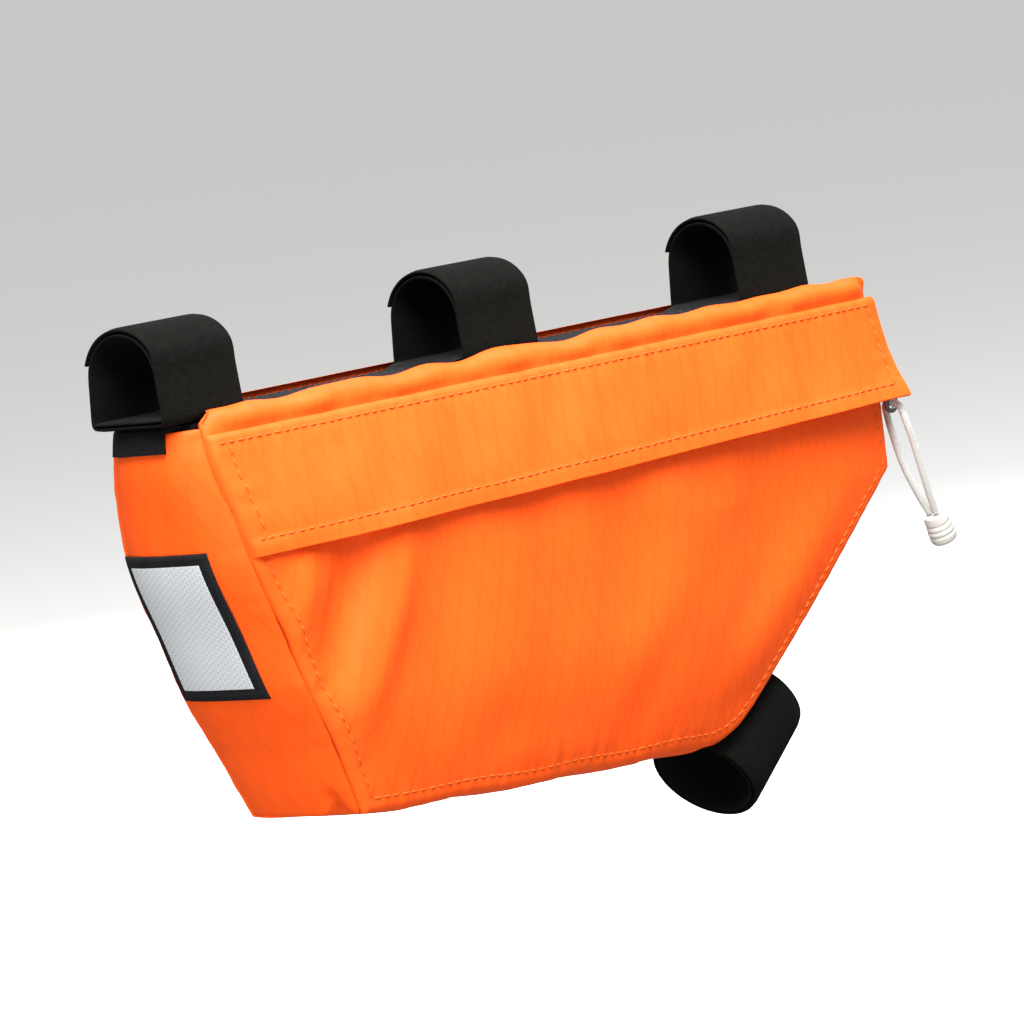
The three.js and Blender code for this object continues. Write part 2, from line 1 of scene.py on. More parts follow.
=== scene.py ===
"""Bicycle frame bag: sewn cloth, straps, zip and cord pull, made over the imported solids."""
import math
from types import SimpleNamespace

import bmesh
import bpy
import numpy as np
from bpy.props import FloatProperty, FloatVectorProperty, PointerProperty
from mathutils import Matrix, Vector


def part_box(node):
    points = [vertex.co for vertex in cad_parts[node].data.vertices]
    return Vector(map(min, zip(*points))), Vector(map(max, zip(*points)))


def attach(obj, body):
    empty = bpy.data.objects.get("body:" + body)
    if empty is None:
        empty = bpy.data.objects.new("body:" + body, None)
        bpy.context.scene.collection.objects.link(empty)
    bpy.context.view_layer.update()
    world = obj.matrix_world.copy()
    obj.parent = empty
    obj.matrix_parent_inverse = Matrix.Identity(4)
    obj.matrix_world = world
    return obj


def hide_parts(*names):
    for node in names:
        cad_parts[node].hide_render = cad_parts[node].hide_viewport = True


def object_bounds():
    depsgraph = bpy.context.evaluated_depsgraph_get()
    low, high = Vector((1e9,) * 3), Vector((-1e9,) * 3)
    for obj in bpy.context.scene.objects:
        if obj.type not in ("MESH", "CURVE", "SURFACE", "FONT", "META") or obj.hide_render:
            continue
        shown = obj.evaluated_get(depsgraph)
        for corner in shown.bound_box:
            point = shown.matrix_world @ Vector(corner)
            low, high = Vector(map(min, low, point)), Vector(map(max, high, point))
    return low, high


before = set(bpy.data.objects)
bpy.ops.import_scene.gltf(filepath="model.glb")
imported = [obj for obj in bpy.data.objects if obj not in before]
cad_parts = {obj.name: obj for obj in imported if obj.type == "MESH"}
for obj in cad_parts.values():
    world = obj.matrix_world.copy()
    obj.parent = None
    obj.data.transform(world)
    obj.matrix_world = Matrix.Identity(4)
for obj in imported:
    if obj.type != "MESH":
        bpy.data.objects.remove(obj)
cad_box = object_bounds()

bl_info = {
    "name": "Bicycle frame bag",
    "version": (1, 0, 0),
    "blender": (4, 5, 0),
    "location": "3D View > Sidebar > Frame Bag",
    "description": "Sews a soft frame bag with its straps, zip and cord pull",
    "category": "Object",
}

MM = 0.001
RIGHT, LEFT = -1, 1
RIGHTWARDS, LEFTWARDS, UPWARDS, REARWARDS = (0, -1, 0), (0, 1, 0), (0, 0, 1), (-1, 0, 0)

# Outline of the bag as the solids have it, in millimetres like all values down to the camera's
TOP_Z, TOP_PANEL_Z = -13.0, -16.3
REAR_HEIGHT, FRONT_HEIGHT = 135.0, 144.0
FRONT_TOP_X = 192.0
KNEE_X, KNEE_Z = 187.3, -79.5
TUBE_SLOPE = math.radians(38)
LOWER_CORNER, REAR_CORNER, FRONT_CORNER = 45.0, 6.0, 3.0
SEAM_GAP = 0.3
UNEVEN = 0.7
BAG_MIDDLE = (20, 0, -75)

# Cloth that settles between its seams: share that it is cut too large, most that it may move, frames of the
# simulation, and the scale at which it runs, because the solver suits larger cloth
SETTLE_GROWTH, SETTLE_LIMIT, SETTLE_FRAMES, SETTLE_SCALE = 0.002, 4.0, 24, 10

# Cross sections by their depth below the top edge: place of the rear seam along the tube, and half the
# bag's width at the rear seam, the middle and the front seam
SECTION_DROPS = np.array([0, 17, 40, 72, 97, 117, 135]) / REAR_HEIGHT
REAR_X = np.array([-151, -151.5, -147.3, -135.3, -124.7, -115, -106])
REAR_HALF = np.array([18.5, 22.3, 27, 28.5, 28.5, 27, 25])
MIDDLE_HALF = np.array([20, 25, 30, 33, 32.5, 29.5, 26])
FRONT_HALF = np.array([18, 20, 22, 23, 23, 22, 20])
SPAN = FRONT_TOP_X - REAR_X[0]

# Slack folds in the lower right side: start, end, rise (negative for a valley) and width
FOLDS = (
    ((-70, -55), (-116, -128), 3.6, 8.5),
    ((-95, -55), (-122, -110), -3.2, 7.0),
    ((-121, -60), (-132, -92), 2.4, 6.0),
    ((-20, -62), (-34, -128), 0.7, 13.0),
    ((60, -60), (52, -120), 0.6, 13.0),
    ((-84, -58), (-113, -112), 0.7, 2.6),
    ((-104, -60), (-123, -98), -0.7, 2.4),
    ((-50, -58), (-78, -132), -0.6, 9.0),
    ((18, -58), (8, -110), 0.35, 8.0),
    ((98, -57), (88, -104), 0.4, 9.0),
    ((-50, -140), (20, -146), 0.8, 6.0),
)

# Gussets: how far the middle stands out from the seams, and how far the down tube presses it in
REAR_CROWN, REAR_CURVE = (8.0, 3.6), 2.8
BOTTOM_CROWN, FRONT_CROWN, TUBE_PRESS = 2.0, 2.0, 4.2
# A tuck where the rear and bottom panels meet: its rise, and its place across from -1 on the right to 1
TUCK, TUCK_PLACE, TUCK_WIDTH = 4.5, -0.66, 0.13

# Zip, and the flap over it
ZIP_LEVEL, ZIP_HALF = 34 / FRONT_HEIGHT, 3.5 / FRONT_HEIGHT
ZIP_UPPER, ZIP_LOWER = ZIP_LEVEL - ZIP_HALF, ZIP_LEVEL + ZIP_HALF
ZIP_END, ZIP_TAPE_HALF, ZIP_TURNS = 0.012, 13.0, 220
FLAP_TOP_Z, FLAP_REAR_Z, FLAP_FRONT_Z = -20.5, -60.0, -55.0
FLAP_DROP, FLAP_LENGTH = FLAP_TOP_Z - FLAP_REAR_Z, SPAN + 2
FLAP_END = FLAP_LENGTH / SPAN
FLAP_STAND_OFF, FLAP_FLARE, FLAP_FLARE_FROM = 2.5, 6.5, 0.55
# The flap hides the right side's sewn line above this height
FLAP_HIDES_Z = -52.0

# Radius and depth over which cloth turns in at an edge, and the depth alone where the seam's own radius holds
TOP_TURN, ZIP_EDGE_TURN, GUSSET_END_TURN = (3.2, 2.4), (2.0, 1.0), (2.0, 0.7)
FLAP_TOP_TURN, FLAP_REAR_TURN, LABEL_TURN = (2.6, 1.7), (3.2, 3.1), (1.2, 0.6)
SIDE_TURN_DEPTH, GUSSET_TURN_DEPTH = 1.8, 1.1

# Sewn lines by their distance from an edge
TOP_SEWN, ZIP_SEWN, WEBBING_SEWN = 7.5, 6.0, 2.5
FLAP_TOP_SEWN, FLAP_REAR_SEWN, FLAP_FRONT_SEWN = 3.0, 7.0, 5.0

# Straps: places along the tube, loops round both tubes, and the webbing that holds them. A loop has the tube's
# radius, the distance of its flat run and half that run's width, and its lap is a turn round the tube
STRAP_PLACES = {"strap_rear": -146.0, "strap_middle": 0.0, "strap_front": 146.0}
TOP_LOOP, DOWN_LOOP, STRAP_LAP = (13.1, 14.4, 14.4), (16.3, 16.3, 5.0), 0.25
DOWN_STRAP_X, DOWN_STRAP_Z = 108.45, -158.87
WEBBING_ENDS, WEBBING_RAMP = (-165.0, 180.0), 9.0
WEBBING_LOW_Z, WEBBING_HIGH_Z = -16.0, -14.1
APRON_DROP, APRON_SPAN, BEND = 6.5, (-9.5, 15.5), 1.6

# Slider, both strands of the cord pull, and the moulded end that holds them
SLIDER_PLACE, SLIDER_BACK_Y, SLIDER_FRONT_Y = (186.5, -48.5), -23.5, -25.9
SLIDER_EDGE = 0.32
CORD_FRONT = (
    (189.5, -24.9, -57.3), (189.5, -26.6, -57.5), (189.6, -28.3, -58.6), (189.8, -29.4, -61.0),
    (190.4, -30.0, -64.8), (192.6, -30.1, -71.5), (194.8, -29.9, -78.5), (197.2, -29.5, -85.5),
    (199.8, -28.9, -92.0), (202.6, -28.4, -97.7),
)
CORD_REAR = (
    (189.5, -24.5, -57.3), (190.0, -22.7, -57.4), (191.1, -21.1, -58.5), (192.2, -20.5, -61.0),
    (193.0, -20.5, -64.8), (193.9, -21.3, -71.5), (195.2, -22.2, -78.5), (197.2, -23.5, -85.5),
    (199.8, -24.7, -92.0), (202.6, -25.6, -97.7),
)
PULL_END_PLACE, PULL_END_LEAN, PULL_END_LENGTH = (205.5, -27.0, -103.3), math.radians(24), 11.0

# Patch on the rear panel: across from left to right, and from top to bottom
LABEL_Y, LABEL_Z, LABEL_THICK, REFLECTOR_THICK = (25.5, -14.0), (-57.0, -106.5), 0.8, 0.2

# The photograph's camera, solved in the part's frame, and the middle of the bag in its picture
CAMERA_PLACE = (-1948.1, -1671.2, 145.9)
CAMERA_AHEAD, CAMERA_RIGHT = Vector((0.7439, 0.6601, -0.1042)), Vector((0.6476, -0.7506, -0.1315))
CAMERA_UP = Vector((0.165, -0.0303, 0.9858))
PICTURE_SIZE, PICTURE_FOCUS, PICTURE_CENTRE, BAG_CENTRE = 1024, 2622.3, (512, 512), (556, 449)
CLOSER = 3.0
FLOOR_REACH = 3e5


def lerp(a, b, share):
    return a + (b - a) * share


def smooth(value, low, high):
    """Eases from 0 at low to 1 at high"""
    share = np.clip((value - low) / (high - low), 0, 1)
    return share * share * (3 - 2 * share)


def point(*coordinates):
    """A point, or many, from coordinates of one shape or of shapes that fit each other"""
    return np.stack(np.broadcast_arrays(*coordinates), -1)


def linear(code):
    """Linear colour of an sRGB hex code"""
    parts = [int(code[i:i + 2], 16) / 255 for i in (1, 3, 5)]
    return [c / 12.92 if c <= 0.04045 else ((c + 0.055) / 1.055) ** 2.4 for c in parts] + [1.0]


def colour(name, description, code):
    return FloatVectorProperty(
        name=name, description=description, subtype="COLOR", size=4, min=0, max=1, default=linear(code)
    )


def length(name, description, millimetres):
    return FloatProperty(
        name=name, description=description, unit="LENGTH", subtype="DISTANCE", min=0,
        precision=5, default=millimetres * MM,
    )


def node_width(node, axis):
    low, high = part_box(node)
    return (high[axis] - low[axis]) / MM


class BagSizes(bpy.types.PropertyGroup):
    cloth: length("Cloth", "Thickness of the laminate with its lining", 1.5)
    seam_turn: length("Seam turn", "Radius over which the cloth turns in at a seam", 2.8)
    topstitch: length("Topstitch", "Distance of the sewn line from its seam", 4.6)
    pucker: length("Pucker", "Height of the ripples that the thread pulls into the cloth", 0.24)
    crumple: length("Crumple", "Height of the slack cloth's rise and fall", 0.22)
    top_roll: length("Top roll", "How far the edge above the flap puffs out", 1.5)
    hem: length("Hem", "Depth of the flap's turned hem", 5.2)
    stitch: length("Stitch", "Length of one stitch", 3.4)
    stitch_gap: length("Stitch gap", "Bare cloth between two stitches", 0.8)
    thread: length("Thread", "Thickness of the sewing thread", 0.7)
    strap: length("Strap", "Thickness of the hook-and-loop strap", 1.6)
    strap_width: length("Strap width", "Width of the straps", node_width("strap_middle", 0))
    webbing: length("Webbing", "Thickness of the webbing", 1.2)
    webbing_width: length("Webbing width", "Width of the webbing", node_width("top_webbing", 1))
    zip_tape: length("Zip tape", "Thickness of the zip's tape", 0.8)
    zip_pitch: length("Zip pitch", "Length of one turn of the zip's coil", 1.5)
    cord: length("Cord", "Diameter of the pull's cord", 2.5)
    label_border: length("Label border", "Width of the patch's woven border", 3.2)
    floor_drop: length("Floor drop", "Height at which the bag hangs over the floor", 110)


class BagColours(bpy.types.PropertyGroup):
    laminate: colour("Laminate", "Orange of the cloth panels", "#FE5F1C")
    laminate_deep: colour("Laminate, deep", "Orange between the yarns under the film", "#F85412")
    thread: colour("Thread", "Sewing thread on the orange panels", "#E2621F")
    black_thread: colour("Black thread", "Sewing thread on the black pieces", "#26272A")
    # Black cloth of the top and the webbing: really black, and made darker still as painted shade from the top tube
    # that lies over them
    black_cloth: colour("Black cloth", "Top panel", "#0C0C0D")
    webbing: colour("Webbing", "Webbing along the top", "#0E0E0F")
    strap: colour("Strap", "Loop pile of the straps", "#090A08")
    # The pile's own uneven tufts, drawn paler as painted sheen where the pile stands up
    strap_lit: colour("Strap, brushed", "Pile where it is brushed up", "#11120F")
    zip: colour("Zip", "Tape and coil of the zip", "#18191B")
    slider: colour("Slider", "Cast slider", "#9A9DA2")
    cord: colour("Cord", "Cord of the pull", "#C2C2BC")
    cord_shade: colour("Cord, shade", "Between the strands of the braid", "#94948D")
    pull: colour("Pull", "Moulded end of the pull", "#C6C4BC")
    label: colour("Label", "Border of the patch", "#141416")
    reflector: colour("Reflector", "Reflective field of the patch", "#E4E6E7")
    reflector_gap: colour("Reflector gap", "Between the reflective beads", "#C4C8CB")
    floor: colour("Floor", "Floor of the studio", "#EFEFED")


class FrameBagSettings(bpy.types.PropertyGroup):
    sizes: PointerProperty(type=BagSizes, name="Sizes", description="Sizes of the bag's making")
    colours: PointerProperty(type=BagColours, name="Colours", description="Colours of the bag")


def bag_settings(context):
    """The bag's sizes in millimetres, and its colours"""
    settings = context.scene.frame_bag
    sizes = {name: getattr(settings.sizes, name) / MM for name in BagSizes.__annotations__}
    return SimpleNamespace(**sizes), settings.colours


# Shape of the bag


def curve_through(at, knots, values):
    """Smooth curve through a table, each slope the mean of the slopes on its two sides"""
    at = np.clip(at, knots[0], knots[-1])
    slants = np.diff(values) / np.diff(knots)
    slopes = np.concatenate([slants[:1], (slants[1:] + slants[:-1]) / 2, slants[-1:]])
    i = np.clip(np.searchsorted(knots, at, side="right") - 1, 0, len(knots) - 2)
    width = knots[i + 1] - knots[i]
    t = (at - knots[i]) / width
    ends = values[i] * (1 + 2 * t) * (1 - t) ** 2 + values[i + 1] * t * t * (3 - 2 * t)
    return ends + width * (slopes[i] * t * (1 - t) ** 2 - slopes[i + 1] * t * t * (1 - t))


def run_along(path):
    """How far along a path each of its points is"""
    return np.concatenate([[0], np.cumsum(np.linalg.norm(np.diff(path, axis=0), axis=1))])


def on_path(at, run, values):
    """The values that a path's points hold, at runs along the path"""
    return point(*(np.interp(at, run, column) for column in values.T))


def waves(along, pitch, seed):
    """Uneven ripples of about one pitch, between about -1 and 1"""
    chance = np.random.default_rng(seed)
    total = np.zeros(np.shape(along))
    for share in (0.61, 0.83, 1.0, 1.37, 1.81):
        total += np.sin(math.tau * along / (pitch * share) + chance.uniform(0, math.tau))
    return total / 2.6


def corner_pull(radius, depth):
    """How far a rounded corner has pulled in at a depth below the edge"""
    return radius - np.sqrt(radius ** 2 - np.clip(radius - depth, 0, radius) ** 2)


LOWEST_Z = TOP_Z - FRONT_HEIGHT
ARC_Z = LOWEST_Z + LOWER_CORNER * (1 - math.cos(TUBE_SLOPE))
ARC_X = KNEE_X - (KNEE_Z - ARC_Z) / math.tan(TUBE_SLOPE)
ARC_CENTRE_X = ARC_X - LOWER_CORNER * math.sin(TUBE_SLOPE)
ARC_LEVEL, KNEE_LEVEL = (TOP_Z - ARC_Z) / FRONT_HEIGHT, (TOP_Z - KNEE_Z) / FRONT_HEIGHT
TOP_LEVEL = (TOP_Z - TOP_PANEL_Z) / FRONT_HEIGHT


def front_x(z):
    """The front edge: upright, then along the down tube, then round the lower corner"""
    upright = lerp(FRONT_TOP_X, KNEE_X, (TOP_Z - z) / (TOP_Z - KNEE_Z)) - corner_pull(FRONT_CORNER, TOP_Z - z)
    slanted = KNEE_X - (KNEE_Z - z) / math.tan(TUBE_SLOPE)
    below = np.clip(LOWEST_Z + LOWER_CORNER - z, 0, LOWER_CORNER)
    rounded = ARC_CENTRE_X + np.sqrt(LOWER_CORNER ** 2 - below ** 2)
    return np.where(z > KNEE_Z, upright, np.where(z > ARC_Z, slanted, rounded))


def outline(u, level):
    """x and z on the side: u runs from the rear seam to the front, level from the top edge to the bottom"""
    front_z = TOP_Z - level * FRONT_HEIGHT
    rear_z = TOP_Z - level * REAR_HEIGHT
    rear_x = curve_through(level, SECTION_DROPS, REAR_X) + corner_pull(REAR_CORNER, TOP_Z - rear_z)
    x, z = lerp(rear_x, front_x(front_z), u), lerp(rear_z, front_z, u)
    # Cloth edges are never quite straight
    x = x + UNEVEN * waves(z, 62, 1) * (1 - u) ** 4 * smooth(level, 0, 0.2)
    return np.broadcast_arrays(x, z + UNEVEN * waves(x, 85, 2) * smooth(level, 0.7, 1))


def level_at(u, z):
    return (TOP_Z - z) / lerp(REAR_HEIGHT, FRONT_HEIGHT, u)


def half_width(u, level):
    """Half the bag's width: a parabola through the section's rear, middle and front widths"""
    rear, middle, front = (
        curve_through(level, SECTION_DROPS, table) for table in (REAR_HALF, MIDDLE_HALF, FRONT_HALF)
    )
    return rear * (1 - u) * (1 - 2 * u) + 4 * middle * u * (1 - u) + front * u * (2 * u - 1)


def locate(x, z):
    """u and level of a point of the side"""
    u = np.full(np.shape(x), 0.5)
    for _ in range(10):
        level = np.clip(level_at(u, z), 0, 1)
        rear, front = outline(0, level)[0], outline(1, level)[0]
        u = np.clip((x - rear) / (front - rear), 0, 1)
    return u, level


def stops_between(start, end, steps):
    """Rows of u and level from one stop of the outline to another"""
    share = np.linspace(0, 1, steps)[:, None]
    return lerp(np.array(start, float), np.array(end, float), share)


def along_u(start, end, level, steps):
    return point(*outline(np.linspace(start, end, steps), level))


def along_level(u, start, end, steps):
    return point(*outline(u, np.linspace(start, end, steps)))


# The line on which the gussets are sewn to a side, from the top rear corner round to the top front one
SIDE_SEAM = np.concatenate([
    along_level(0, 0, 1, 36),
    along_u(0, 1, 1, 22)[1:],
    along_level(1, 1, ARC_LEVEL, 12)[1:],
    along_level(1, ARC_LEVEL, KNEE_LEVEL, 10)[1:],
    along_level(1, KNEE_LEVEL, 0, 14)[1:],
])
TOP_EDGE = along_u(0, 1, 0, 24)


def from_seam(x, z, seam):
    """How far points lie from a seam, and how far along the seam they are"""
    start, step = seam[:-1], np.diff(seam, axis=0)
    run = np.linalg.norm(step, axis=1)
    offset = point(x, z)[..., None, :] - start
    share = np.clip((offset * step).sum(-1) / run ** 2, 0, 1)
    gaps = np.linalg.norm(offset - share[..., None] * step, axis=-1)
    nearest = gaps.argmin(-1)
    share = np.take_along_axis(share, nearest[..., None], -1)[..., 0]
    return gaps.min(-1), run_along(seam)[nearest] + share * run[nearest]


# What sewing and slack do to cloth


def crumpled(a, b, size, seed):
    """Uneven rise and fall over patches of a size, between about -1 and 1"""
    chance = np.random.default_rng(seed)
    total = np.zeros(np.shape(a))
    for _ in range(14):
        turn, pitch = chance.uniform(0, math.tau), size * chance.uniform(0.7, 2.0)
        across = a * math.cos(turn) + b * math.sin(turn)
        total += np.sin(math.tau * across / pitch + chance.uniform(0, math.tau))
    return total / 4.5


def turned_in(gap, radius, depth):
    """How far cloth has turned in at a gap from its edge"""
    short = np.clip(1 - gap / radius, 0, 1)
    return depth * (1 - np.sqrt(1 - short ** 2))


def sewn(gap, along, height, seed):
    """What a sewn line does at a gap from it: a groove under the thread and ripples beside it"""
    groove = -0.6 * np.exp(-(gap / 1.1) ** 2)
    ripple = waves(along, 10, seed) * np.exp(-np.abs(gap) / 5.5)
    return height * (groove + ripple)


def folds(x, z):
    rise = np.zeros(np.shape(x))
    for (from_x, from_z), (to_x, to_z), height, width in FOLDS:
        run = math.hypot(to_x - from_x, to_z - from_z)
        ahead = ((to_x - from_x) / run, (to_z - from_z) / run)
        share = ((x - from_x) * ahead[0] + (z - from_z) * ahead[1]) / run
        aside = (x - from_x) * ahead[1] - (z - from_z) * ahead[0]
        rise += height * np.clip(1 - (2 * share - 1) ** 2, 0, 1) * np.exp(-(aside / width) ** 2)
    return rise


settled_cloth = {}


def settle(points, held):
    """Lets cloth that is cut a little too large settle between its seams, and gives how far it moved"""
    trial = new_piece("cloth_trial", points * SETTLE_SCALE, grid_faces(*points.shape[:2]))
    trial.vertex_groups.new(name="seams").add(np.flatnonzero(held).tolist(), 1.0, "REPLACE")
    cloth = trial.modifiers.new("Settling", "CLOTH")
    cloth.settings.vertex_group_mass = "seams"
    cloth.settings.shrink_min = -SETTLE_GROWTH
    cloth.settings.quality = 6
    cloth.settings.bending_stiffness = 15
    cloth.settings.effector_weights.gravity = 0.15
    cloth.collision_settings.use_collision = False
    scene = bpy.context.scene
    first = scene.frame_current
    for moment in range(1, SETTLE_FRAMES + 1):
        scene.frame_set(moment)
    shape = trial.evaluated_get(bpy.context.evaluated_depsgraph_get()).data
    after = np.empty(points.size, np.float32)
    shape.vertices.foreach_get("co", after)
    scene.frame_set(first)
    bpy.data.meshes.remove(trial.data)
    return after.reshape(points.shape) / (MM * SETTLE_SCALE) - points


def evened(field, times):
    """A grid of values without the small wrinkles of its own mesh"""
    for _ in range(2 * times):
        field = np.concatenate([field[:1], (field[:-2] + 2 * field[1:-1] + field[2:]) / 4, field[-1:]]).T
    return field


def finer(field, steps):
    """A grid of values drawn with more points on smooth curves through it"""
    for _ in range(2):
        knots = np.arange(field.shape[1], dtype=float)
        at = np.linspace(0, knots[-1], int(knots[-1]) * steps + 1)
        field = np.stack([curve_through(at, knots, line) for line in field]).T
    return field


def settle_panel(name, points, held, outwards):
    """Keeps how far a panel's settled cloth stands out, for the meshes and the stitches on it"""
    out = (settle(points, held) * np.array(outwards)).sum(-1)
    settled_cloth[name] = finer(evened(np.clip(out, -SETTLE_LIMIT, SETTLE_LIMIT), 8), 4)


def settled(name, across, down):
    """How far settled cloth stands out at shares of the way across and down its panel"""
    if name not in settled_cloth:
        return 0.0
    field = settled_cloth[name]
    column = np.clip(across, 0, 1) * (field.shape[1] - 1)
    row = np.clip(down, 0, 1) * (field.shape[0] - 1)
    c = np.minimum(column.astype(int), field.shape[1] - 2)
    r = np.minimum(row.astype(int), field.shape[0] - 2)
    upper = lerp(field[r, c], field[r, c + 1], column - c)
    return lerp(upper, lerp(field[r + 1, c], field[r + 1, c + 1], column - c), row - r)


def side_lift(x, z, sizes, seed):
    """What the seams round a side do to it"""
    gap, along = from_seam(x, z, SIDE_SEAM)
    lift = sewn(gap - sizes.topstitch, along, sizes.pucker, seed)
    lift -= turned_in(gap, sizes.seam_turn, SIDE_TURN_DEPTH)
    return lift + sizes.crumple * crumpled(x, z, 34, seed + 1) * smooth(gap, 2, 14)


def lower_right(x, z, sizes):
    """Outer face of the right side below the zip"""
    u, level = locate(x, z)
    zip_gap = (level - ZIP_LEVEL - ZIP_HALF) * FRONT_HEIGHT
    lift = side_lift(x, z, sizes, 11) + folds(x, z) - turned_in(zip_gap, *ZIP_EDGE_TURN)
    lift += sewn(zip_gap - ZIP_SEWN, x, sizes.pucker * 0.6, 13)
    lift += settled("cloth_lower_right", u, (level - ZIP_LOWER) / (1 - ZIP_LOWER))
    return point(x, RIGHT * (half_width(u, level) + lift), z)


def upper_right(x, z, sizes):
    """Outer face of the right side above the zip: its top edge is puffed up over the flap's seam"""
    u, level = locate(x, z)
    zip_gap = (ZIP_UPPER - level) * FRONT_HEIGHT
    top_gap, along = from_seam(x, z, TOP_EDGE)
    end_gap = from_seam(x, z, SIDE_SEAM)[0]
    depth = TOP_Z - FLAP_TOP_Z
    puff = np.clip(1 - (2 * top_gap / depth - 1) ** 2, 0, 1) * (1 + 0.4 * waves(along, 31, 21))
    ripple = waves(along, 9, 22) * np.exp(-np.abs(top_gap - depth) / 2.5)
    lift = (sizes.top_roll * puff + sizes.pucker * ripple) * smooth(end_gap, 0, 6)
    lift -= turned_in(top_gap, *TOP_TURN) + turned_in(end_gap, sizes.seam_turn, SIDE_TURN_DEPTH)
    lift -= turned_in(zip_gap, *ZIP_EDGE_TURN)
    edge = 0.9 * waves(along, 48, 23) * np.exp(-top_gap / 5) * smooth(end_gap, 3, 22)
    return point(x, RIGHT * (half_width(u, level) + lift), z + edge)


def whole_left(x, z, sizes):
    """Outer face of the left side, with the right side's folds shifted and weaker"""
    u, level = locate(x, z)
    top_gap, along = from_seam(x, z, TOP_EDGE)
    lift = side_lift(x, z, sizes, 31) - turned_in(top_gap, *TOP_TURN)
    lift += sewn(top_gap - TOP_SEWN, along, sizes.pucker, 32)
    mirrored = folds(x * 0.92 - 8, z - 9) * 0.6
    lift += mirrored * smooth(top_gap, 12, 40) + settled("cloth_left", u, level)
    return point(x, LEFT * (half_width(u, level) + lift), z)


def flap_face(u, share, sizes):
    """Outer face of the flap: it leaves the side at the top, and stands off it further down"""
    low_z = lerp(FLAP_REAR_Z, FLAP_FRONT_Z, u)
    level = level_at(u, lerp(FLAP_TOP_Z, low_z, share))
    x, z = outline(u, level)
    drop = FLAP_TOP_Z - low_z
    top, low = share * drop, (1 - share) * drop
    rear, front = u * SPAN, (FLAP_END - u) * SPAN
    pucker, hem = sizes.pucker, sizes.hem
    flare = FLAP_FLARE * np.clip((u - FLAP_FLARE_FROM) / (1 - FLAP_FLARE_FROM), 0, None) ** 2
    lift = SEAM_GAP + sizes.cloth + share * FLAP_STAND_OFF * smooth(rear, 0, 34) + share ** 2 * flare
    lift -= turned_in(top, *FLAP_TOP_TURN) + turned_in(rear, *FLAP_REAR_TURN)
    lift += sewn(top - FLAP_TOP_SEWN, x, pucker, 41) + sewn(low - hem, x, pucker * 0.8, 42)
    lift += sewn(rear - FLAP_REAR_SEWN, z, pucker, 43) + sewn(front - FLAP_FRONT_SEWN, z, pucker * 0.8, 44)
    lift += 0.35 * (1 - smooth(low, hem - 0.6, hem + 0.8))
    streaks = 0.2 * waves(x + 0.16 * top, 13, 45) * np.exp(-np.abs(top - 6) / 16)
    streaks += 0.7 * waves(x + 0.3 * top, 46, 48) * np.sin(math.pi * share)
    crumple = sizes.crumple * crumpled(x, z, 30, 46) * smooth(top, 2, 12)
    lift += (streaks + crumple) * smooth(rear, 4, 22)
    lift += 0.8 * waves(x, 74, 47) * share ** 2 * smooth(rear, 4, 40)
    return point(x, RIGHT * (half_width(np.minimum(u, 1), level) + lift), z)


def no_tuck(at, run):
    return 0.0


def gusset(stops, trims, crown, power, sizes, seed, level_crown=False, rear_push=0.0, tucked=no_tuck):
    """Face of a panel between the sides, along stops of the outline given as rows of u and level. It takes
    shares of the way along and places across, from -1 at the right seam to 1 at the left one. Its start is
    pushed rearwards by the rear push, to meet a crowned panel, and it is gathered up where it is tucked."""
    line = point(*outline(*stops.T))
    halves = half_width(*stops.T) - sizes.cloth - SEAM_GAP
    ahead_x, ahead_z = unit(np.gradient(line, axis=0)).T
    run = run_along(line)

    def face(share, across):
        at = lerp(trims[0], run[-1] - trims[1], share)
        x, z, out_x, out_z, half = (
            np.interp(at, run, values) for values in (*line.T, ahead_z, -ahead_x, halves)
        )
        edge, ends = (1 - np.abs(across)) * half, np.minimum(at - trims[0], run[-1] - trims[1] - at)
        rise = crown(at / run[-1]) * (1 - np.abs(across) ** power)
        pushed = rear_push * (1 - np.abs(across) ** REAR_CURVE) * (1 - smooth(at, 0, 26))
        lift = -turned_in(edge, sizes.seam_turn, GUSSET_TURN_DEPTH) - turned_in(ends, *GUSSET_END_TURN)
        ripple = waves(at, 11, seed) * np.exp(-edge / 5) * smooth(edge, 0, 2)
        lift += sizes.pucker * ripple + sizes.crumple * crumpled(at, across * half, 30, seed + 1)
        tuck = TUCK * np.exp(-((across - TUCK_PLACE) / TUCK_WIDTH) ** 2) * tucked(at, run[-1])
        x, z = x + out_x * lift - pushed, z + out_z * lift + tuck
        if level_crown:
            return point(x - rise, across * half, z)
        return point(x + out_x * rise, across * half, z + out_z * rise)

    return face


def rear_face_x(y, z, cloth):
    """The rear panel's outer face on its crowned middle"""
    level = level_at(0, z)
    top = (TOP_Z - TOP_PANEL_Z + cloth) / REAR_HEIGHT
    half = half_width(0, level) - cloth - SEAM_GAP
    crown = lerp(*REAR_CROWN, (level - top) / (1 - top))
    return outline(0, level)[0] - crown * (1 - np.abs(y / half) ** REAR_CURVE)


# Meshes


def graded(run, step):
    """Shares from 0 to 1, a step apart in the middle and closer together at the turned edges"""
    near = np.array([0, 0.3, 0.7, 1.2, 1.8, 2.5, 3.4])
    middle = np.linspace(4.6, run - 4.6, max(2, round((run - 9.2) / step) + 1))
    return np.concatenate([near, middle, run - near[::-1]]) / run


def in_scene(name, mesh):
    """A smooth mesh as an object of the scene"""
    mesh.shade_smooth()
    piece = bpy.data.objects.new(name, mesh)
    bpy.context.scene.collection.objects.link(piece)
    return piece


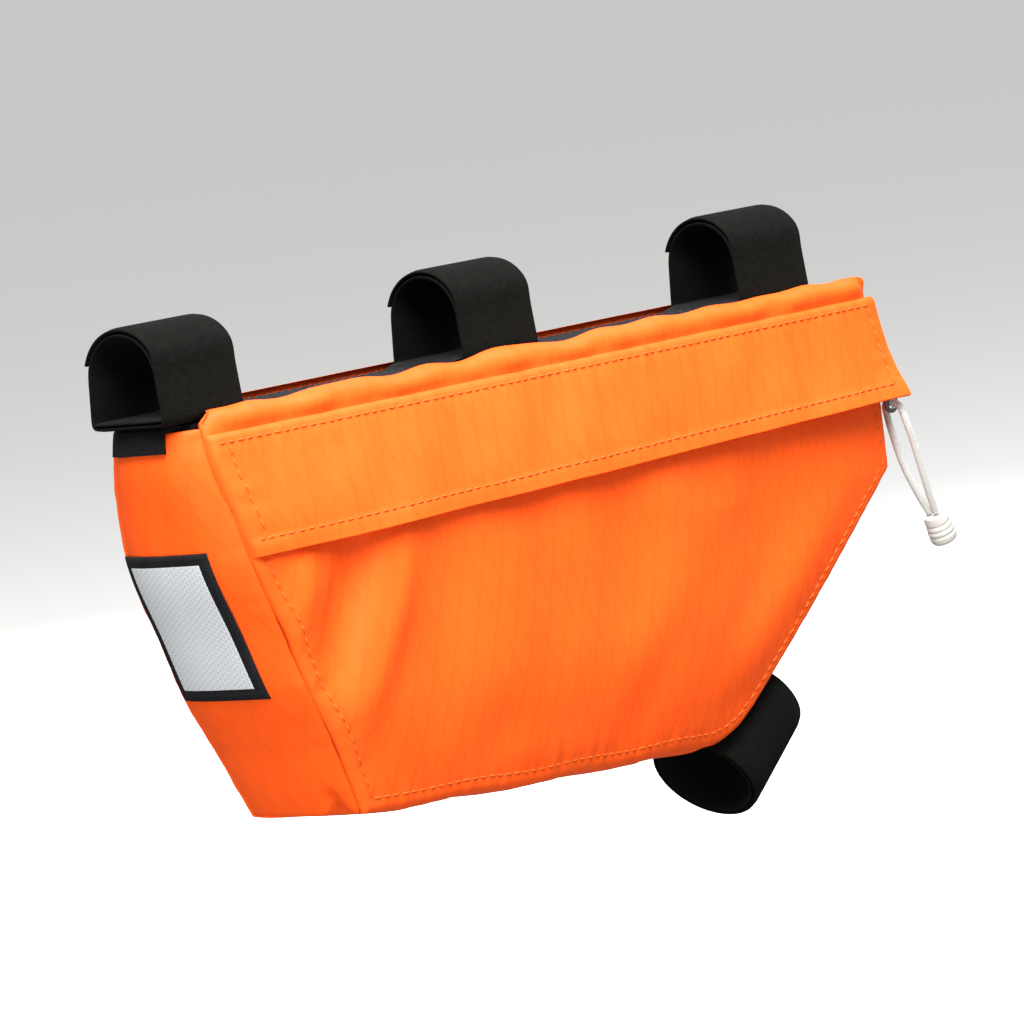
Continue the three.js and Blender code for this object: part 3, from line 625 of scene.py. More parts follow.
def new_piece(name, points, faces, flat=None):
    """A mesh from points and flat cloth coordinates, both in millimetres"""
    mesh = bpy.data.meshes.new(name)
    mesh.from_pydata((points.reshape(-1, 3) * MM).tolist(), [], faces)
    mesh.validate()
    if flat is not None:
        corners = np.empty(len(mesh.loops), np.int32)
        mesh.loops.foreach_get("vertex_index", corners)
        laid = (flat.reshape(-1, 2)[corners] * MM).astype(np.float32)
        mesh.uv_layers.new(name="cloth").uv.foreach_set("vector", laid.ravel())
    return in_scene(name, mesh)


def closed_piece(name, points, faces, flat=None):
    """A closed mesh with all its faces turned outwards"""
    piece = new_piece(name, points, faces, flat)
    shape = bmesh.new()
    shape.from_mesh(piece.data)
    bmesh.ops.recalc_face_normals(shape, faces=shape.faces)
    shape.to_mesh(piece.data)
    shape.free()
    return piece


def grid_faces(rows, columns, flip=False, closed=False):
    first = np.arange(rows - 1)[:, None] * columns
    here = np.arange(columns if closed else columns - 1)[None, :]
    after = (here + 1) % columns
    corners = np.stack([first + here, first + after, first + columns + after, first + columns + here], -1)
    corners = corners.reshape(-1, 4)
    return (corners[:, ::-1] if flip else corners).tolist()


def grid_piece(name, points, flat, facing):
    """A sheet from a grid of points, with its faces towards the given side"""
    rows, columns = points.shape[:2]
    middle = points[rows // 2, columns // 2]
    ahead = points[rows // 2, columns // 2 + 1] - middle
    down = points[rows // 2 + 1, columns // 2] - middle
    flip = np.dot(np.cross(ahead, down), facing) < 0
    return new_piece(name, points, grid_faces(rows, columns, flip), flat)


def lined_piece(name, points, flat, facing, thick):
    """A panel with its lining straight behind it, as far as the cloth is thick there, joined round the edge"""
    rows, columns = points.shape[:2]
    count = rows * columns
    rim = np.concatenate([
        np.arange(columns), np.arange(1, rows) * columns + columns - 1,
        (rows - 1) * columns + np.arange(columns - 2, -1, -1), np.arange(rows - 2, 0, -1) * columns,
    ])
    after = np.roll(rim, -1)
    outer = np.array(grid_faces(rows, columns))
    faces = np.concatenate([outer, outer[:, ::-1] + count, np.stack([after, rim, rim + count, after + count], -1)])
    inner = points - thick[..., None] * np.array(facing)
    return closed_piece(name, np.stack([points, inner]), faces.tolist(), np.stack([flat, flat]))


def thicken(piece, thickness):
    """Gives a sheet its thickness on its inner side, and softens the cut edge"""
    solid = piece.modifiers.new("Thickness", "SOLIDIFY")
    solid.thickness = thickness * MM
    solid.offset = -1
    edge = piece.modifiers.new("Soft edge", "BEVEL")
    edge.limit_method = "ANGLE"
    edge.angle_limit = math.radians(60)
    edge.width = 0.3 * thickness * MM
    edge.segments = 2


def fit(piece, material, slot, *nodes):
    """Gives a piece its finish, joins it to the root body, and hides the solids it stands for"""
    piece.data.materials.append(material)
    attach(piece, "root")
    if nodes:
        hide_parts(*nodes)
    return piece


def unit(vectors):
    return vectors / np.linalg.norm(vectors, axis=-1, keepdims=True)


def resampled(path, step):
    """Points of a path at even steps"""
    run = run_along(path)
    return on_path(np.linspace(0, run[-1], max(2, round(run[-1] / step) + 1)), run, path)


def turns(sides):
    return np.arange(sides) * math.tau / sides


def ringed(path, reach, aside, up):
    """Rings of points round a path, with the reach of each point from it"""
    turn = turns(reach.shape[1])[None, :, None]
    return path[:, None] + reach[..., None] * (np.cos(turn) * aside[:, None] + np.sin(turn) * up[:, None])


def tube(path, radius, sides, shape=None):
    """Points round a path. The shape scales the radius by the run along the path and the turn round it."""
    ahead = unit(np.gradient(path, axis=0))
    aside = unit(np.cross(ahead, np.array([0.3, 1.0, 0.2])))
    reach = np.full((len(path), sides), radius)
    if shape is not None:
        reach = reach * shape(run_along(path)[:, None], turns(sides)[None, :])
    return ringed(path, reach, aside, np.cross(ahead, aside))


def tube_faces(rows, sides, first=0):
    faces = np.array(grid_faces(rows, sides, closed=True)) + first
    ends = [list(range(first, first + sides))[::-1], list(range(first + (rows - 1) * sides, first + rows * sides))]
    return faces.tolist() + ends


def band_piece(name, path, aside, width, thick):
    """A woven band along a path, thinner at its two selvedges"""
    edge = np.array([1, 0.985, 0.955, 0.91, 0.875, 0.6, 0.3])
    rise = np.array([0, 0.45, 0.62, 0.66, 0.96, 1, 1])
    across, upper = np.concatenate([-edge, [0], edge[::-1]]), np.concatenate([rise, [1], rise[::-1]])
    wide = np.concatenate([across, across[-2:0:-1]]) * width / 2
    high = np.concatenate([upper, -upper[-2:0:-1]]) * thick / 2
    up = unit(np.cross(unit(np.gradient(path, axis=0)), aside))
    points = path[:, None] + wide[:, None] * np.array(aside) + high[:, None] * up[:, None]
    flat = point(wide[None, :], run_along(path)[:, None])
    return closed_piece(name, points, tube_faces(*points.shape[:2]), flat)


def loop_path(radius, flat, half, thick):
    """Middle line of a strap round a tube, in the plane across the tube, with the flat run towards +x. It
    starts under its own lap, goes round the tube, along the flat run, and round again on top of itself."""
    corner = math.atan2(half, flat)
    tangent = corner + math.acos(radius / math.hypot(half, flat))
    ring = lambda turn, out: point(out * np.cos(turn), out * np.sin(turn))
    under = np.linspace(-tangent, tangent - math.tau, 90)
    over = np.linspace(-tangent, tangent - math.tau + STRAP_LAP, 90)
    rise = lerp(0.5, 1.55, smooth(-tangent - over, -0.05, 0.5))
    run = np.array([[flat + thick / 2, half + thick / 2], [flat + thick / 2, -half - thick / 2]])
    path = np.concatenate([ring(under, radius + thick / 2), run, ring(over, radius + thick * rise)])
    path = resampled(path, 1.0)
    for _ in range(5):
        path[1:-1] = (path[:-2] + 2 * path[1:-1] + path[2:]) / 4
    return path


def sewn_line(face, a, b, towards):
    """Points of a line on a face, and the directions that stand off it"""
    a, b = np.broadcast_arrays(np.asarray(a, float), np.asarray(b, float))
    small = 0.002 * max(np.ptp(a), np.ptp(b))
    at = face(a, b)
    stand = unit(np.cross(face(a + small, b) - at, face(a, b + small) - at))
    return at, stand * np.sign((stand * np.array(towards, float)).sum(-1, keepdims=True))


def stitch_piece(name, lines, sizes):
    """Stitches along lines: each is a short thread that dips into the cloth at both ends"""
    sides, thread = 6, sizes.thread / 2
    share = np.linspace(0, 1, 6)
    bow = np.sqrt(np.sin(math.pi * share).clip(0))
    reach = np.repeat(thread * (0.55 + 0.45 * bow)[:, None], sides, 1)
    pitch = sizes.stitch + sizes.stitch_gap
    threads, faces = [], []
    for at, stand in lines:
        run = run_along(at)
        for start in np.arange(0.5, run[-1] - pitch, pitch):
            here = start + share * sizes.stitch
            up = unit(on_path(here, run, stand))
            path = on_path(here, run, at) + up * (thread * (1.3 * bow - 0.7))[:, None]
            aside = np.cross(unit(np.gradient(path, axis=0)), up)
            faces += tube_faces(len(share), sides, len(threads) * len(share) * sides)
            threads.append(ringed(path, reach, aside, up))
    return closed_piece(name, np.concatenate(threads), faces)


# Materials


def feed(tree, node, inputs):
    """Sets a node's inputs, or links them to what another node gives"""
    for socket, value in inputs.items():
        if isinstance(value, bpy.types.Node):
            value = value.outputs.get("Fac") or next(output for output in value.outputs if output.enabled)
        if isinstance(value, bpy.types.NodeSocket):
            tree.links.new(value, node.inputs[socket])
        else:
            node.inputs[socket].default_value = value


def add(tree, kind, inputs=None, **settings):
    """Adds a node with its settings, and sets or links its inputs"""
    made = tree.nodes.new("ShaderNode" + kind)
    for name, value in settings.items():
        setattr(made, name, value)
    feed(tree, made, inputs or {})
    return made


def new_material(name, **values):
    """A material with its constant values on the shader's own sockets"""
    material = bpy.data.materials.new(name)
    material.use_nodes = True
    shader = material.node_tree.nodes["Principled BSDF"]
    feed(material.node_tree, shader, {socket.replace("_", " "): value for socket, value in values.items()})
    return material, material.node_tree, shader


def band_scale(pitch):
    """Scale of a wave texture whose bands are a pitch apart, in millimetres"""
    return math.tau / 20 / (pitch * MM)


def shaded(tint, share):
    return [share * c for c in tint[:3]] + [1]


def laminate(colours):
    """Polyester laminate: a smooth film over crossed yarns, so a soft gloss and a low diamond of ridges"""
    name = "Coated ripstop laminate"
    if name in bpy.data.materials:
        return bpy.data.materials[name]
    material, tree, shader = new_material(name, Specular_IOR_Level=0.15)
    flat = add(tree, "UVMap", uv_map="cloth")
    yarns = []
    for lean in (-21, 21):
        turned = add(tree, "Mapping", {"Vector": flat, "Rotation": (0, 0, math.radians(lean))})
        bands = add(tree, "TexWave", {"Vector": turned, "Scale": band_scale(8.5), "Distortion": 0.25})
        yarns.append(add(tree, "Math", {0: bands, 1: 10.0}, operation="POWER"))
    ridge = add(tree, "Math", {0: yarns[0], 1: yarns[1]}, operation="MAXIMUM")
    # The weave is about 0.4 mm, too fine to show, so it is drawn at 1.1 mm
    threads = [
        add(tree, "TexWave", {"Vector": flat, "Scale": band_scale(1.1), "Distortion": 0.6}, bands_direction=way)
        for way in "XY"
    ]
    weave = add(tree, "Math", {0: threads[0], 1: threads[1]}, operation="MULTIPLY")
    # Creases of the film are a few millimetres apart
    crease = add(tree, "TexNoise", {"Vector": flat, "Scale": 1 / (7 * MM), "Detail": 5.0, "Roughness": 0.6})
    patch = add(tree, "TexNoise", {"Vector": flat, "Scale": 1 / (45 * MM), "Detail": 3.0})
    height = add(tree, "Math", {0: weave, 1: 0.35, 2: ridge}, operation="MULTIPLY_ADD")
    height = add(tree, "Math", {0: crease, 1: 1.6, 2: height}, operation="MULTIPLY_ADD")
    shade = add(tree, "Math", {0: ridge, 1: -0.25, 2: patch}, operation="MULTIPLY_ADD")
    feed(tree, shader, {
        "Base Color": add(tree, "Mix", {0: shade, 6: colours.laminate_deep, 7: colours.laminate}, data_type="RGBA"),
        "Roughness": add(tree, "MapRange", {"Value": crease, "To Min": 0.46, "To Max": 0.66}),
        "Normal": add(tree, "Bump", {"Strength": 0.36, "Distance": 0.15 * MM, "Height": height}),
    })
    return material


def woven(name, tint, pitch, depth, roughness, rib=1.0):
    """Woven black fibre: matt, with a grid of threads that catches the light at its edges, drawn as a painted
    highlight on the threads and painted shade between them. Its threads are about 0.4 mm, too fine to show, so they
    are drawn at the pitch, which is 1 mm or more."""
    material, tree, shader = new_material(name, Roughness=roughness, Sheen_Weight=0.01, Specular_IOR_Level=0.12)
    flat = add(tree, "UVMap", uv_map="cloth")
    threads = [
        add(tree, "TexWave", {"Vector": flat, "Scale": band_scale(gap), "Distortion": 0.5}, bands_direction=way)
        for way, gap in (("X", pitch), ("Y", pitch * rib))
    ]
    grid = add(tree, "Math", {0: threads[0], 1: threads[1]}, operation="MULTIPLY")
    worn = add(tree, "TexNoise", {"Vector": flat, "Scale": 1 / (6 * MM), "Detail": 4.0})
    # Painted highlight on the threads and painted shade between them, in a lighter and a darker copy of the tint,
    # mixed with random dust and wear
    thread_light_and_dust = add(tree, "Math", {0: grid, 1: 0.5, 2: worn}, operation="MULTIPLY_ADD")
    lighter = [min(1, 1.7 * c + 0.002) for c in tint[:3]] + [1]
    feed(tree, shader, {
        "Base Color": add(tree, "Mix", {0: thread_light_and_dust, 6: shaded(tint, 0.55), 7: lighter}, data_type="RGBA"),
        "Normal": add(tree, "Bump", {"Strength": 0.8, "Distance": depth * MM, "Height": grid}),
    })
    return material


def loop_pile(colours):
    """Hook-and-loop tape: brushed nylon loops, matt and fuzzy, in uneven tufts that are paler with painted sheen
    where the pile stands up
    """
    material, tree, shader = new_material(
        "Brushed nylon loop tape", Roughness=0.9, Sheen_Weight=0.01, Sheen_Roughness=0.4, Specular_IOR_Level=0.05
    )
    flat = add(tree, "UVMap", uv_map="cloth")
    # Loops of about 0.3 mm are too fine to show, so they are drawn at 0.9 mm, in tufts of 3 mm
    loops = add(tree, "TexNoise", {"Vector": flat, "Scale": 1 / (0.9 * MM), "Detail": 3.0, "Roughness": 0.7})
    tufts = add(tree, "TexNoise", {"Vector": flat, "Scale": 1 / (3.2 * MM), "Detail": 4.0, "Roughness": 0.65})
    pile = add(tree, "Math", {0: tufts, 1: 1.2, 2: loops}, operation="MULTIPLY_ADD")
    # Uneven tufts of pile, paler with painted sheen where the pile stands up
    brushed = add(tree, "MapRange", {"Value": pile, "From Min": 0.8, "From Max": 1.45})
    feed(tree, shader, {
        "Base Color": add(tree, "Mix", {0: brushed, 6: colours.strap, 7: colours.strap_lit}, data_type="RGBA"),
        "Normal": add(tree, "Bump", {"Strength": 0.9, "Distance": 0.35 * MM, "Height": pile}),
    })
    return material


def moulded(name, tint, roughness, grain, depth, metallic=0.0):
    """A moulded or cast surface: an even tint with the fine grain of its mould"""
    material, tree, shader = new_material(name, Metallic=metallic)
    place = add(tree, "TexCoord").outputs["Object"]
    speck = add(tree, "TexNoise", {"Vector": place, "Scale": 1 / (grain * MM), "Detail": 3.0})
    patch = add(tree, "TexNoise", {"Vector": place, "Scale": 1 / (9 * grain * MM), "Detail": 2.0})
    gloss = {"Value": speck, "To Min": roughness - 0.1, "To Max": roughness + 0.1}
    feed(tree, shader, {
        "Base Color": add(tree, "Mix", {0: patch, 6: shaded(tint, 0.78), 7: tint}, data_type="RGBA"),
        "Roughness": add(tree, "MapRange", gloss),
        "Normal": add(tree, "Bump", {"Strength": 0.5, "Distance": depth * MM, "Height": speck}),
    })
    return material


def twisted_thread(name, tint):
    """Bonded polyester thread: a slight gloss on its twisted plies, and painted shade between the plies in a darker
    copy of its tint.
    The plies are about 0.3 mm, too fine to show, so they are drawn 0.9 mm apart."""
    material, tree, shader = new_material(name, Roughness=0.6, Specular_IOR_Level=0.25)
    place = add(tree, "TexCoord").outputs["Object"]
    twist = {"Vector": place, "Scale": band_scale(0.9), "Distortion": 2.0}
    # Painted shade: the colour turns to a darker copy of the tint between the plies
    plies = add(tree, "TexWave", twist, bands_direction="DIAGONAL")
    feed(tree, shader, {
        "Base Color": add(tree, "Mix", {0: plies, 6: shaded(tint, 0.7), 7: tint}, data_type="RGBA"),
    })
    return material


def braided_cord(colours):
    """Braided polyester cord: pale strands that cross, with shade between them"""
    material, tree, shader = new_material("Braided polyester cord", Roughness=0.7, Sheen_Weight=0.3)
    flat = add(tree, "UVMap", uv_map="cloth")
    # Strands of about 0.5 mm are too fine to show, so they are drawn 0.8 mm apart
    strands = []
    for lean in (-40, 40):
        turned = add(tree, "Mapping", {"Vector": flat, "Rotation": (0, 0, math.radians(lean))})
        strands.append(add(tree, "TexWave", {"Vector": turned, "Scale": band_scale(0.8)}))
    braid = add(tree, "Math", {0: strands[0], 1: strands[1]}, operation="MAXIMUM")
    feed(tree, shader, {
        "Base Color": add(tree, "Mix", {0: braid, 6: colours.cord_shade, 7: colours.cord}, data_type="RGBA"),
        "Normal": add(tree, "Bump", {"Strength": 0.6, "Distance": 0.12 * MM, "Height": braid}),
    })
    return material


def reflective_film(colours):
    """Glass-bead film behind clear cells: silvery, with fine rows of beads"""
    material, tree, shader = new_material("Glass-bead reflective film", Metallic=0.15, Coat_Weight=0.4)
    flat = add(tree, "UVMap", uv_map="cloth")
    # Rows of beads cross at 60 degrees; they are about 0.1 mm, too fine to show, so drawn 1.5 mm apart
    rows = []
    for lean in (0, 60, 120):
        turned = add(tree, "Mapping", {"Vector": flat, "Rotation": (0, 0, math.radians(lean))})
        rows.append(add(tree, "TexWave", {"Vector": turned, "Scale": band_scale(1.5)}))
    pair = add(tree, "Math", {0: rows[0], 1: rows[1]}, operation="MULTIPLY")
    beads = add(tree, "Math", {0: pair, 1: rows[2]}, operation="MULTIPLY")
    line = add(tree, "MapRange", {"Value": beads, "From Min": 0.0, "From Max": 0.3})
    feed(tree, shader, {
        "Base Color": add(tree, "Mix", {0: line, 6: colours.reflector_gap, 7: colours.reflector}, data_type="RGBA"),
        "Roughness": add(tree, "MapRange", {"Value": line, "To Min": 0.55, "To Max": 0.36}),
        "Normal": add(tree, "Bump", {"Strength": 0.4, "Distance": 0.1 * MM, "Height": line}),
    })
    return material


def floor_paint(colours):
    """Matt studio paint: an even pale tone with the faint grain of a roller"""
    material, tree, shader = new_material("Matt studio paint", Roughness=0.9, Base_Color=colours.floor)
    place = add(tree, "TexCoord").outputs["Object"]
    grain = add(tree, "TexNoise", {"Vector": place, "Scale": 1 / (4 * MM), "Detail": 2.0})
    feed(tree, shader, {"Normal": add(tree, "Bump", {"Strength": 0.05, "Distance": 0.1 * MM, "Height": grain})})
    return material


# Operators


class FRAMEBAG_OT_stage(bpy.types.Operator):
    """Adds the floor, the lights and the photograph's camera"""
    bl_idname = "frame_bag.stage"
    bl_label = "Stage"

    def execute(self, context):
        self.add_floor(*bag_settings(context))
        self.add_lights(context.scene)
        self.add_camera(context.scene)
        return {"FINISHED"}

    def add_floor(self, sizes, colours):
        side = np.linspace(-FLOOR_REACH, FLOOR_REACH, 13)
        points = point(*np.meshgrid(side, side), cad_box[0].z / MM - sizes.floor_drop)
        floor = grid_piece("studio_floor", points, points[..., :2], UPWARDS)
        floor.data.materials.append(floor_paint(colours))
        # The floor throws no light back and stops none, so that the low lights shape the bag's underside
        floor.visible_diffuse = False
        floor.visible_glossy = False
        floor.visible_shadow = False

    def add_lights(self, scene):
        aim = Vector((0.02, 0, -0.08))
        # The fills only lift the shade: their gloss would grey the orange film from one side or another
        for name, place, size, power, gloss in (
            ("key_light", (-0.95, -0.84, 1.3), 1.1, 77, True),
            ("top_light", (0.45, -0.4, 1.75), 1.2, 66, True),
            ("left_fill", (-1.75, -0.3, -0.8), 1.0, 19, False),
            ("right_fill", (-0.1, -1.9, -0.8), 1.0, 12, False),
            ("far_fill", (0.9, 1.7, 0.7), 1.0, 26, False),
        ):
            lamp = bpy.data.lights.new(name, "AREA")
            lamp.size = size
            lamp.energy = power
            light = bpy.data.objects.new(name, lamp)
            light.location = place
            light.visible_glossy = gloss
            light.rotation_euler = (aim - Vector(place)).to_track_quat("-Z", "Y").to_euler()
            scene.collection.objects.link(light)
        world = bpy.data.worlds.new("Soft studio")
        world.use_nodes = True
        tree = world.node_tree
        height = add(tree, "SeparateXYZ", {0: add(tree, "TexCoord").outputs["Generated"]}).outputs["Z"]
        glow = add(tree, "MapRange", {"Value": height, "From Min": 0.0, "To Min": 0.22, "To Max": 0.9})
        feed(tree, tree.nodes["Background"], {"Strength": glow, "Color": (1, 1, 1, 1)})
        scene.world = world
        scene.view_settings.view_transform = "Standard"

    def add_camera(self, scene):
        right = (BAG_CENTRE[0] - PICTURE_CENTRE[0]) / PICTURE_FOCUS
        up = (PICTURE_CENTRE[1] - BAG_CENTRE[1]) / PICTURE_FOCUS
        ahead = (CAMERA_AHEAD + right * CAMERA_RIGHT + up * CAMERA_UP).normalized()
        aside = (CAMERA_RIGHT - CAMERA_RIGHT.dot(ahead) * ahead).normalized()
        lens = bpy.data.cameras.new("photo_camera")
        lens.sensor_width = 36
        lens.lens = CLOSER * PICTURE_FOCUS / PICTURE_SIZE * lens.sensor_width
        lens.clip_end = 1000
        camera = bpy.data.objects.new("photo_camera", lens)
        turn = Matrix((aside, aside.cross(ahead), -ahead)).transposed()
        camera.matrix_world = Matrix.Translation(Vector(CAMERA_PLACE) * MM) @ turn.to_4x4()
        scene.collection.objects.link(camera)
        scene.camera = camera


class FRAMEBAG_OT_cord_pull(bpy.types.Operator):
    """Makes both strands of the pull's cord and the moulded end that holds them"""
    bl_idname = "frame_bag.cord_pull"
    bl_label = "Cord pull"

    def execute(self, context):
        sizes, colours = bag_settings(context)
        end = self.pull_end(colours)
        braid = braided_cord(colours)
        for node, route, far_end, pieces in (
            ("pull_cord_front", CORD_FRONT, "fitting", [end]),
            ("pull_cord_rear", CORD_REAR, "object", []),
        ):
            self.strand(node, np.array(route), far_end, pieces, braid, sizes.cord)
        return {"FINISHED"}

    def strand(self, node, route, far_end, pieces, braid, thick):
        knots = run_along(route)
        at = np.linspace(0, knots[-1], 220)
        path = point(*(curve_through(at, knots, column) for column in route.T))
        radius, sides = thick / 2, 24
        crossing = lambda run, turn: 1 + 0.05 * np.sin(4 * turn + 3.6 * run) * np.sin(4 * turn - 3.6 * run)
        flat = point(turns(sides)[None, :] * radius, at[:, None])
        points = tube(path, radius * 0.97, sides, crossing)
        piece = closed_piece("braided_" + node, points, tube_faces(len(path), sides), flat)
        fit(piece, braid, "pale_cord", node)

    def pull_end(self, colours):
        knots = np.arange(10.0)
        radii = np.array([0.01, 2.6, 4.3, 4.75, 4.75, 4.55, 4.3, 4.1, 3.5, 0.01])
        heights = np.array([-1, -1, -0.86, -0.55, -0.15, 0.2, 0.55, 0.84, 1, 1]) * PULL_END_LENGTH / 2
        rows, sides = 90, 40
        at = np.linspace(0, knots[-1], rows)[:, None]
        radius, height = curve_through(at, knots, radii), curve_through(at, knots, heights)
        # Three grip grooves round the middle
        radius = radius - 0.28 * sum(np.exp(-((height - place) / 0.42) ** 2) for place in (-1.9, 0.1, 2.1))
        upright = point(radius * np.cos(turns(sides)), radius * np.sin(turns(sides)), height)
        lean = np.array(Matrix.Rotation(-PULL_END_LEAN, 3, "Y"))
        points = upright @ lean.T + np.array(PULL_END_PLACE)
        piece = closed_piece("moulded_pull_end", points, tube_faces(rows, sides))
        return fit(piece, moulded("Moulded elastomer", colours.pull, 0.5, 0.8, 0.05), "pull_plastic", "pull_end")


class FRAMEBAG_OT_side_panels(bpy.types.Operator):
    """Sews the two sides, the right one with its zip opening"""
    bl_idname = "frame_bag.side_panels"
    bl_label = "Side panels"

    def execute(self, context):
        sizes, colours = bag_settings(context)
        for name, node, face, start, end, way in (
            ("cloth_lower_right", "side_panel_right", lower_right, ZIP_LOWER, 1, RIGHTWARDS),
            ("cloth_upper_right", "upper_strip_right", upper_right, 0, ZIP_UPPER, RIGHTWARDS),
            ("cloth_left", "side_panel_left", whole_left, 0, 1, LEFTWARDS),
        ):
            run = (end - start) * FRONT_HEIGHT
            if node != "upper_strip_right":
                u, level = np.meshgrid(np.linspace(0, 1, 88), np.linspace(start, end, round(run / 4)))
                x, z = outline(u, level)
                held = (from_seam(x, z, SIDE_SEAM)[0] < sizes.topstitch) | (level < start + 0.04)
                settle_panel(name, face(x, z, sizes), held, way)
            u, share = np.meshgrid(graded(300, 1.7), graded(run, 1.6))
            # The zip's opening closes just before the rear seam
            closed = ZIP_HALF * (1 - smooth(u, 0, ZIP_END))
            level = lerp(start - closed * (start == ZIP_LOWER), end + closed * (end == ZIP_UPPER), share)
            x, z = outline(u, level)
            # The lining stops short of the top edge, which is turned in to the straps
            lining = sizes.cloth * lerp(0.25, 1, smooth(level * FRONT_HEIGHT, 0.5, 4))
            piece = lined_piece(name, face(x, z, sizes), point(x, z), way, lining)
            fit(piece, laminate(colours), "orange_laminate", node)
        return {"FINISHED"}


class FRAMEBAG_OT_gussets(bpy.types.Operator):
    """Sews the rear, bottom, down-tube and front panels between the sides"""
    bl_idname = "frame_bag.gussets"
    bl_label = "Gussets"

    def execute(self, context):
        sizes, colours = bag_settings(context)
        rear_top = (TOP_Z - TOP_PANEL_Z + sizes.cloth) / REAR_HEIGHT
        bottom = np.concatenate([
            stops_between((0, 1), (1, 1), 90), stops_between((1, 1), (1, ARC_LEVEL), 24)[1:],
        ])
        # The two panels are gathered up together at the lower rear corner
        tucks = {
            "rear_panel": lambda at, run: smooth(at, run - 13, run),
            "bottom_panel": lambda at, run: 1 - smooth(at, 0, 9),
        }
        for name, node, stops, trims, crown, power, seed, run in (
            ("cloth_rear", "rear_panel", stops_between((0, rear_top), (0, 1), 80), (SEAM_GAP, 0),
             lambda share: lerp(*REAR_CROWN, share), REAR_CURVE, 51, 140),
            ("cloth_bottom", "bottom_panel", bottom, (0, SEAM_GAP),
             lambda share: lerp(BOTTOM_CROWN * smooth(share, 0, 0.1), -TUBE_PRESS, smooth(share, 0.83, 0.93)),
             4, 53, 235),
            ("cloth_down_tube", "down_tube_panel", stops_between((1, ARC_LEVEL), (1, KNEE_LEVEL), 60), (0, 0),
             lambda share: lerp(-TUBE_PRESS, 0, smooth(share, 0.2, 1)), 4, 55, 110),
            ("cloth_front", "front_panel", stops_between((1, KNEE_LEVEL), (1, TOP_LEVEL), 40), (0, SEAM_GAP),
             lambda share: FRONT_CROWN * share, 2, 57, 60),
        ):
            push = REAR_CROWN[1] if node == "bottom_panel" else 0.0
            tucked = tucks.get(node, no_tuck)
            face = gusset(stops, trims, crown, power, sizes, seed, node == "rear_panel", push, tucked)
            share, across = np.meshgrid(graded(run, 1.6), lerp(-1, 1, graded(50, 1.5)), indexing="ij")
            points = face(share, across)
            outwards = points.mean((0, 1)) - np.array(BAG_MIDDLE)
            piece = grid_piece(name, points, point(across * 25, share * run), outwards)
            thicken(piece, sizes.cloth)
            fit(piece, laminate(colours), "orange_laminate", node)
        return {"FINISHED"}


class FRAMEBAG_OT_flap(bpy.types.Operator):
    """Sews the flap over the zip"""
    bl_idname = "frame_bag.flap"
    bl_label = "Flap"

    def execute(self, context):
        sizes, colours = bag_settings(context)
        u, share = np.meshgrid(graded(FLAP_LENGTH, 1.5) * FLAP_END, graded(FLAP_DROP, 1.2))
        flat = point(u * SPAN, -share * FLAP_DROP)
        piece = grid_piece("cloth_flap", flap_face(u, share, sizes), flat, RIGHTWARDS)
        thicken(piece, sizes.cloth)
        fit(piece, laminate(colours), "orange_laminate", "storm_flap")
        return {"FINISHED"}


class FRAMEBAG_OT_top(bpy.types.Operator):
    """Sews the black top with its apron, and the webbing along it"""
    bl_idname = "frame_bag.top"
    bl_label = "Top and webbing"

    def execute(self, context):
        sizes, colours = bag_settings(context)
        self.top_panel(sizes.cloth, colours)
        self.webbing(sizes, colours)
        return {"FINISHED"}

    def top_panel(self, cloth, colours):
        """Rows run from the front to the rear, round the bend, and down the apron"""
        top, bend, apron = 130, 8, 12
        u = np.concatenate([np.linspace(1, 0, top), np.zeros(bend + apron)])[:, None]
        quarter = math.pi / 2
        turn = [np.zeros(top), np.linspace(0, quarter, bend + 1)[1:], np.full(apron, quarter)]
        turn = np.concatenate(turn)[:, None]
        down = np.concatenate([np.zeros(top + bend), np.linspace(0, 1, apron + 1)[1:]])[:, None]
        across = np.linspace(0, 1, 41)
        half = half_width(u, level_at(u, TOP_PANEL_Z)) - cloth - SEAM_GAP
        y = lerp(lerp(-half, half, across), lerp(*APRON_SPAN, across), smooth(-u, -0.03, 0))
        z = TOP_PANEL_Z - BEND * (1 - np.cos(turn)) - (APRON_DROP + cloth - BEND) * down
        rear = rear_face_x(y, np.minimum(z, TOP_PANEL_Z - cloth), cloth) - SEAM_GAP - cloth
        front = front_x(np.array(TOP_PANEL_Z)) + FRONT_CROWN * (1 - (2 * across - 1) ** 2) - cloth - SEAM_GAP
        x = lerp(rear + BEND, front, u) - BEND * np.sin(turn)
        z = z - 0.2 * (1 + np.clip(crumpled(x, y, 28, 61), -1, 1))
        flat = point(y, u * SPAN - BEND * turn - APRON_DROP * down)
        piece = grid_piece("cloth_top", point(x, y, z), flat, UPWARDS)
        thicken(piece, cloth)
        material = woven("Plain-woven nylon", colours.black_cloth, 1.2, 0.15, 0.85)
        fit(piece, material, "black_cloth", "top_panel")

    def webbing(self, sizes, colours):
        strap_half = sizes.strap_width / 2 + 2 * SEAM_GAP
        x = np.arange(WEBBING_ENDS[0], WEBBING_ENDS[1] + 0.1, 1.0)
        nearest = np.min([np.abs(x - place) for place in STRAP_PLACES.values()], axis=0)
        rest = lerp(WEBBING_HIGH_Z, WEBBING_LOW_Z, smooth(nearest, strap_half, strap_half + WEBBING_RAMP))
        path = point(x, 0.0, rest + sizes.webbing / 2)
        piece = band_piece("ribbed_webbing", path, LEFTWARDS, sizes.webbing_width, sizes.webbing)
        material = woven("Ribbed nylon webbing", colours.webbing, 1.6, 0.3, 0.8, 2.0)
        fit(piece, material, "black_webbing", "top_webbing")


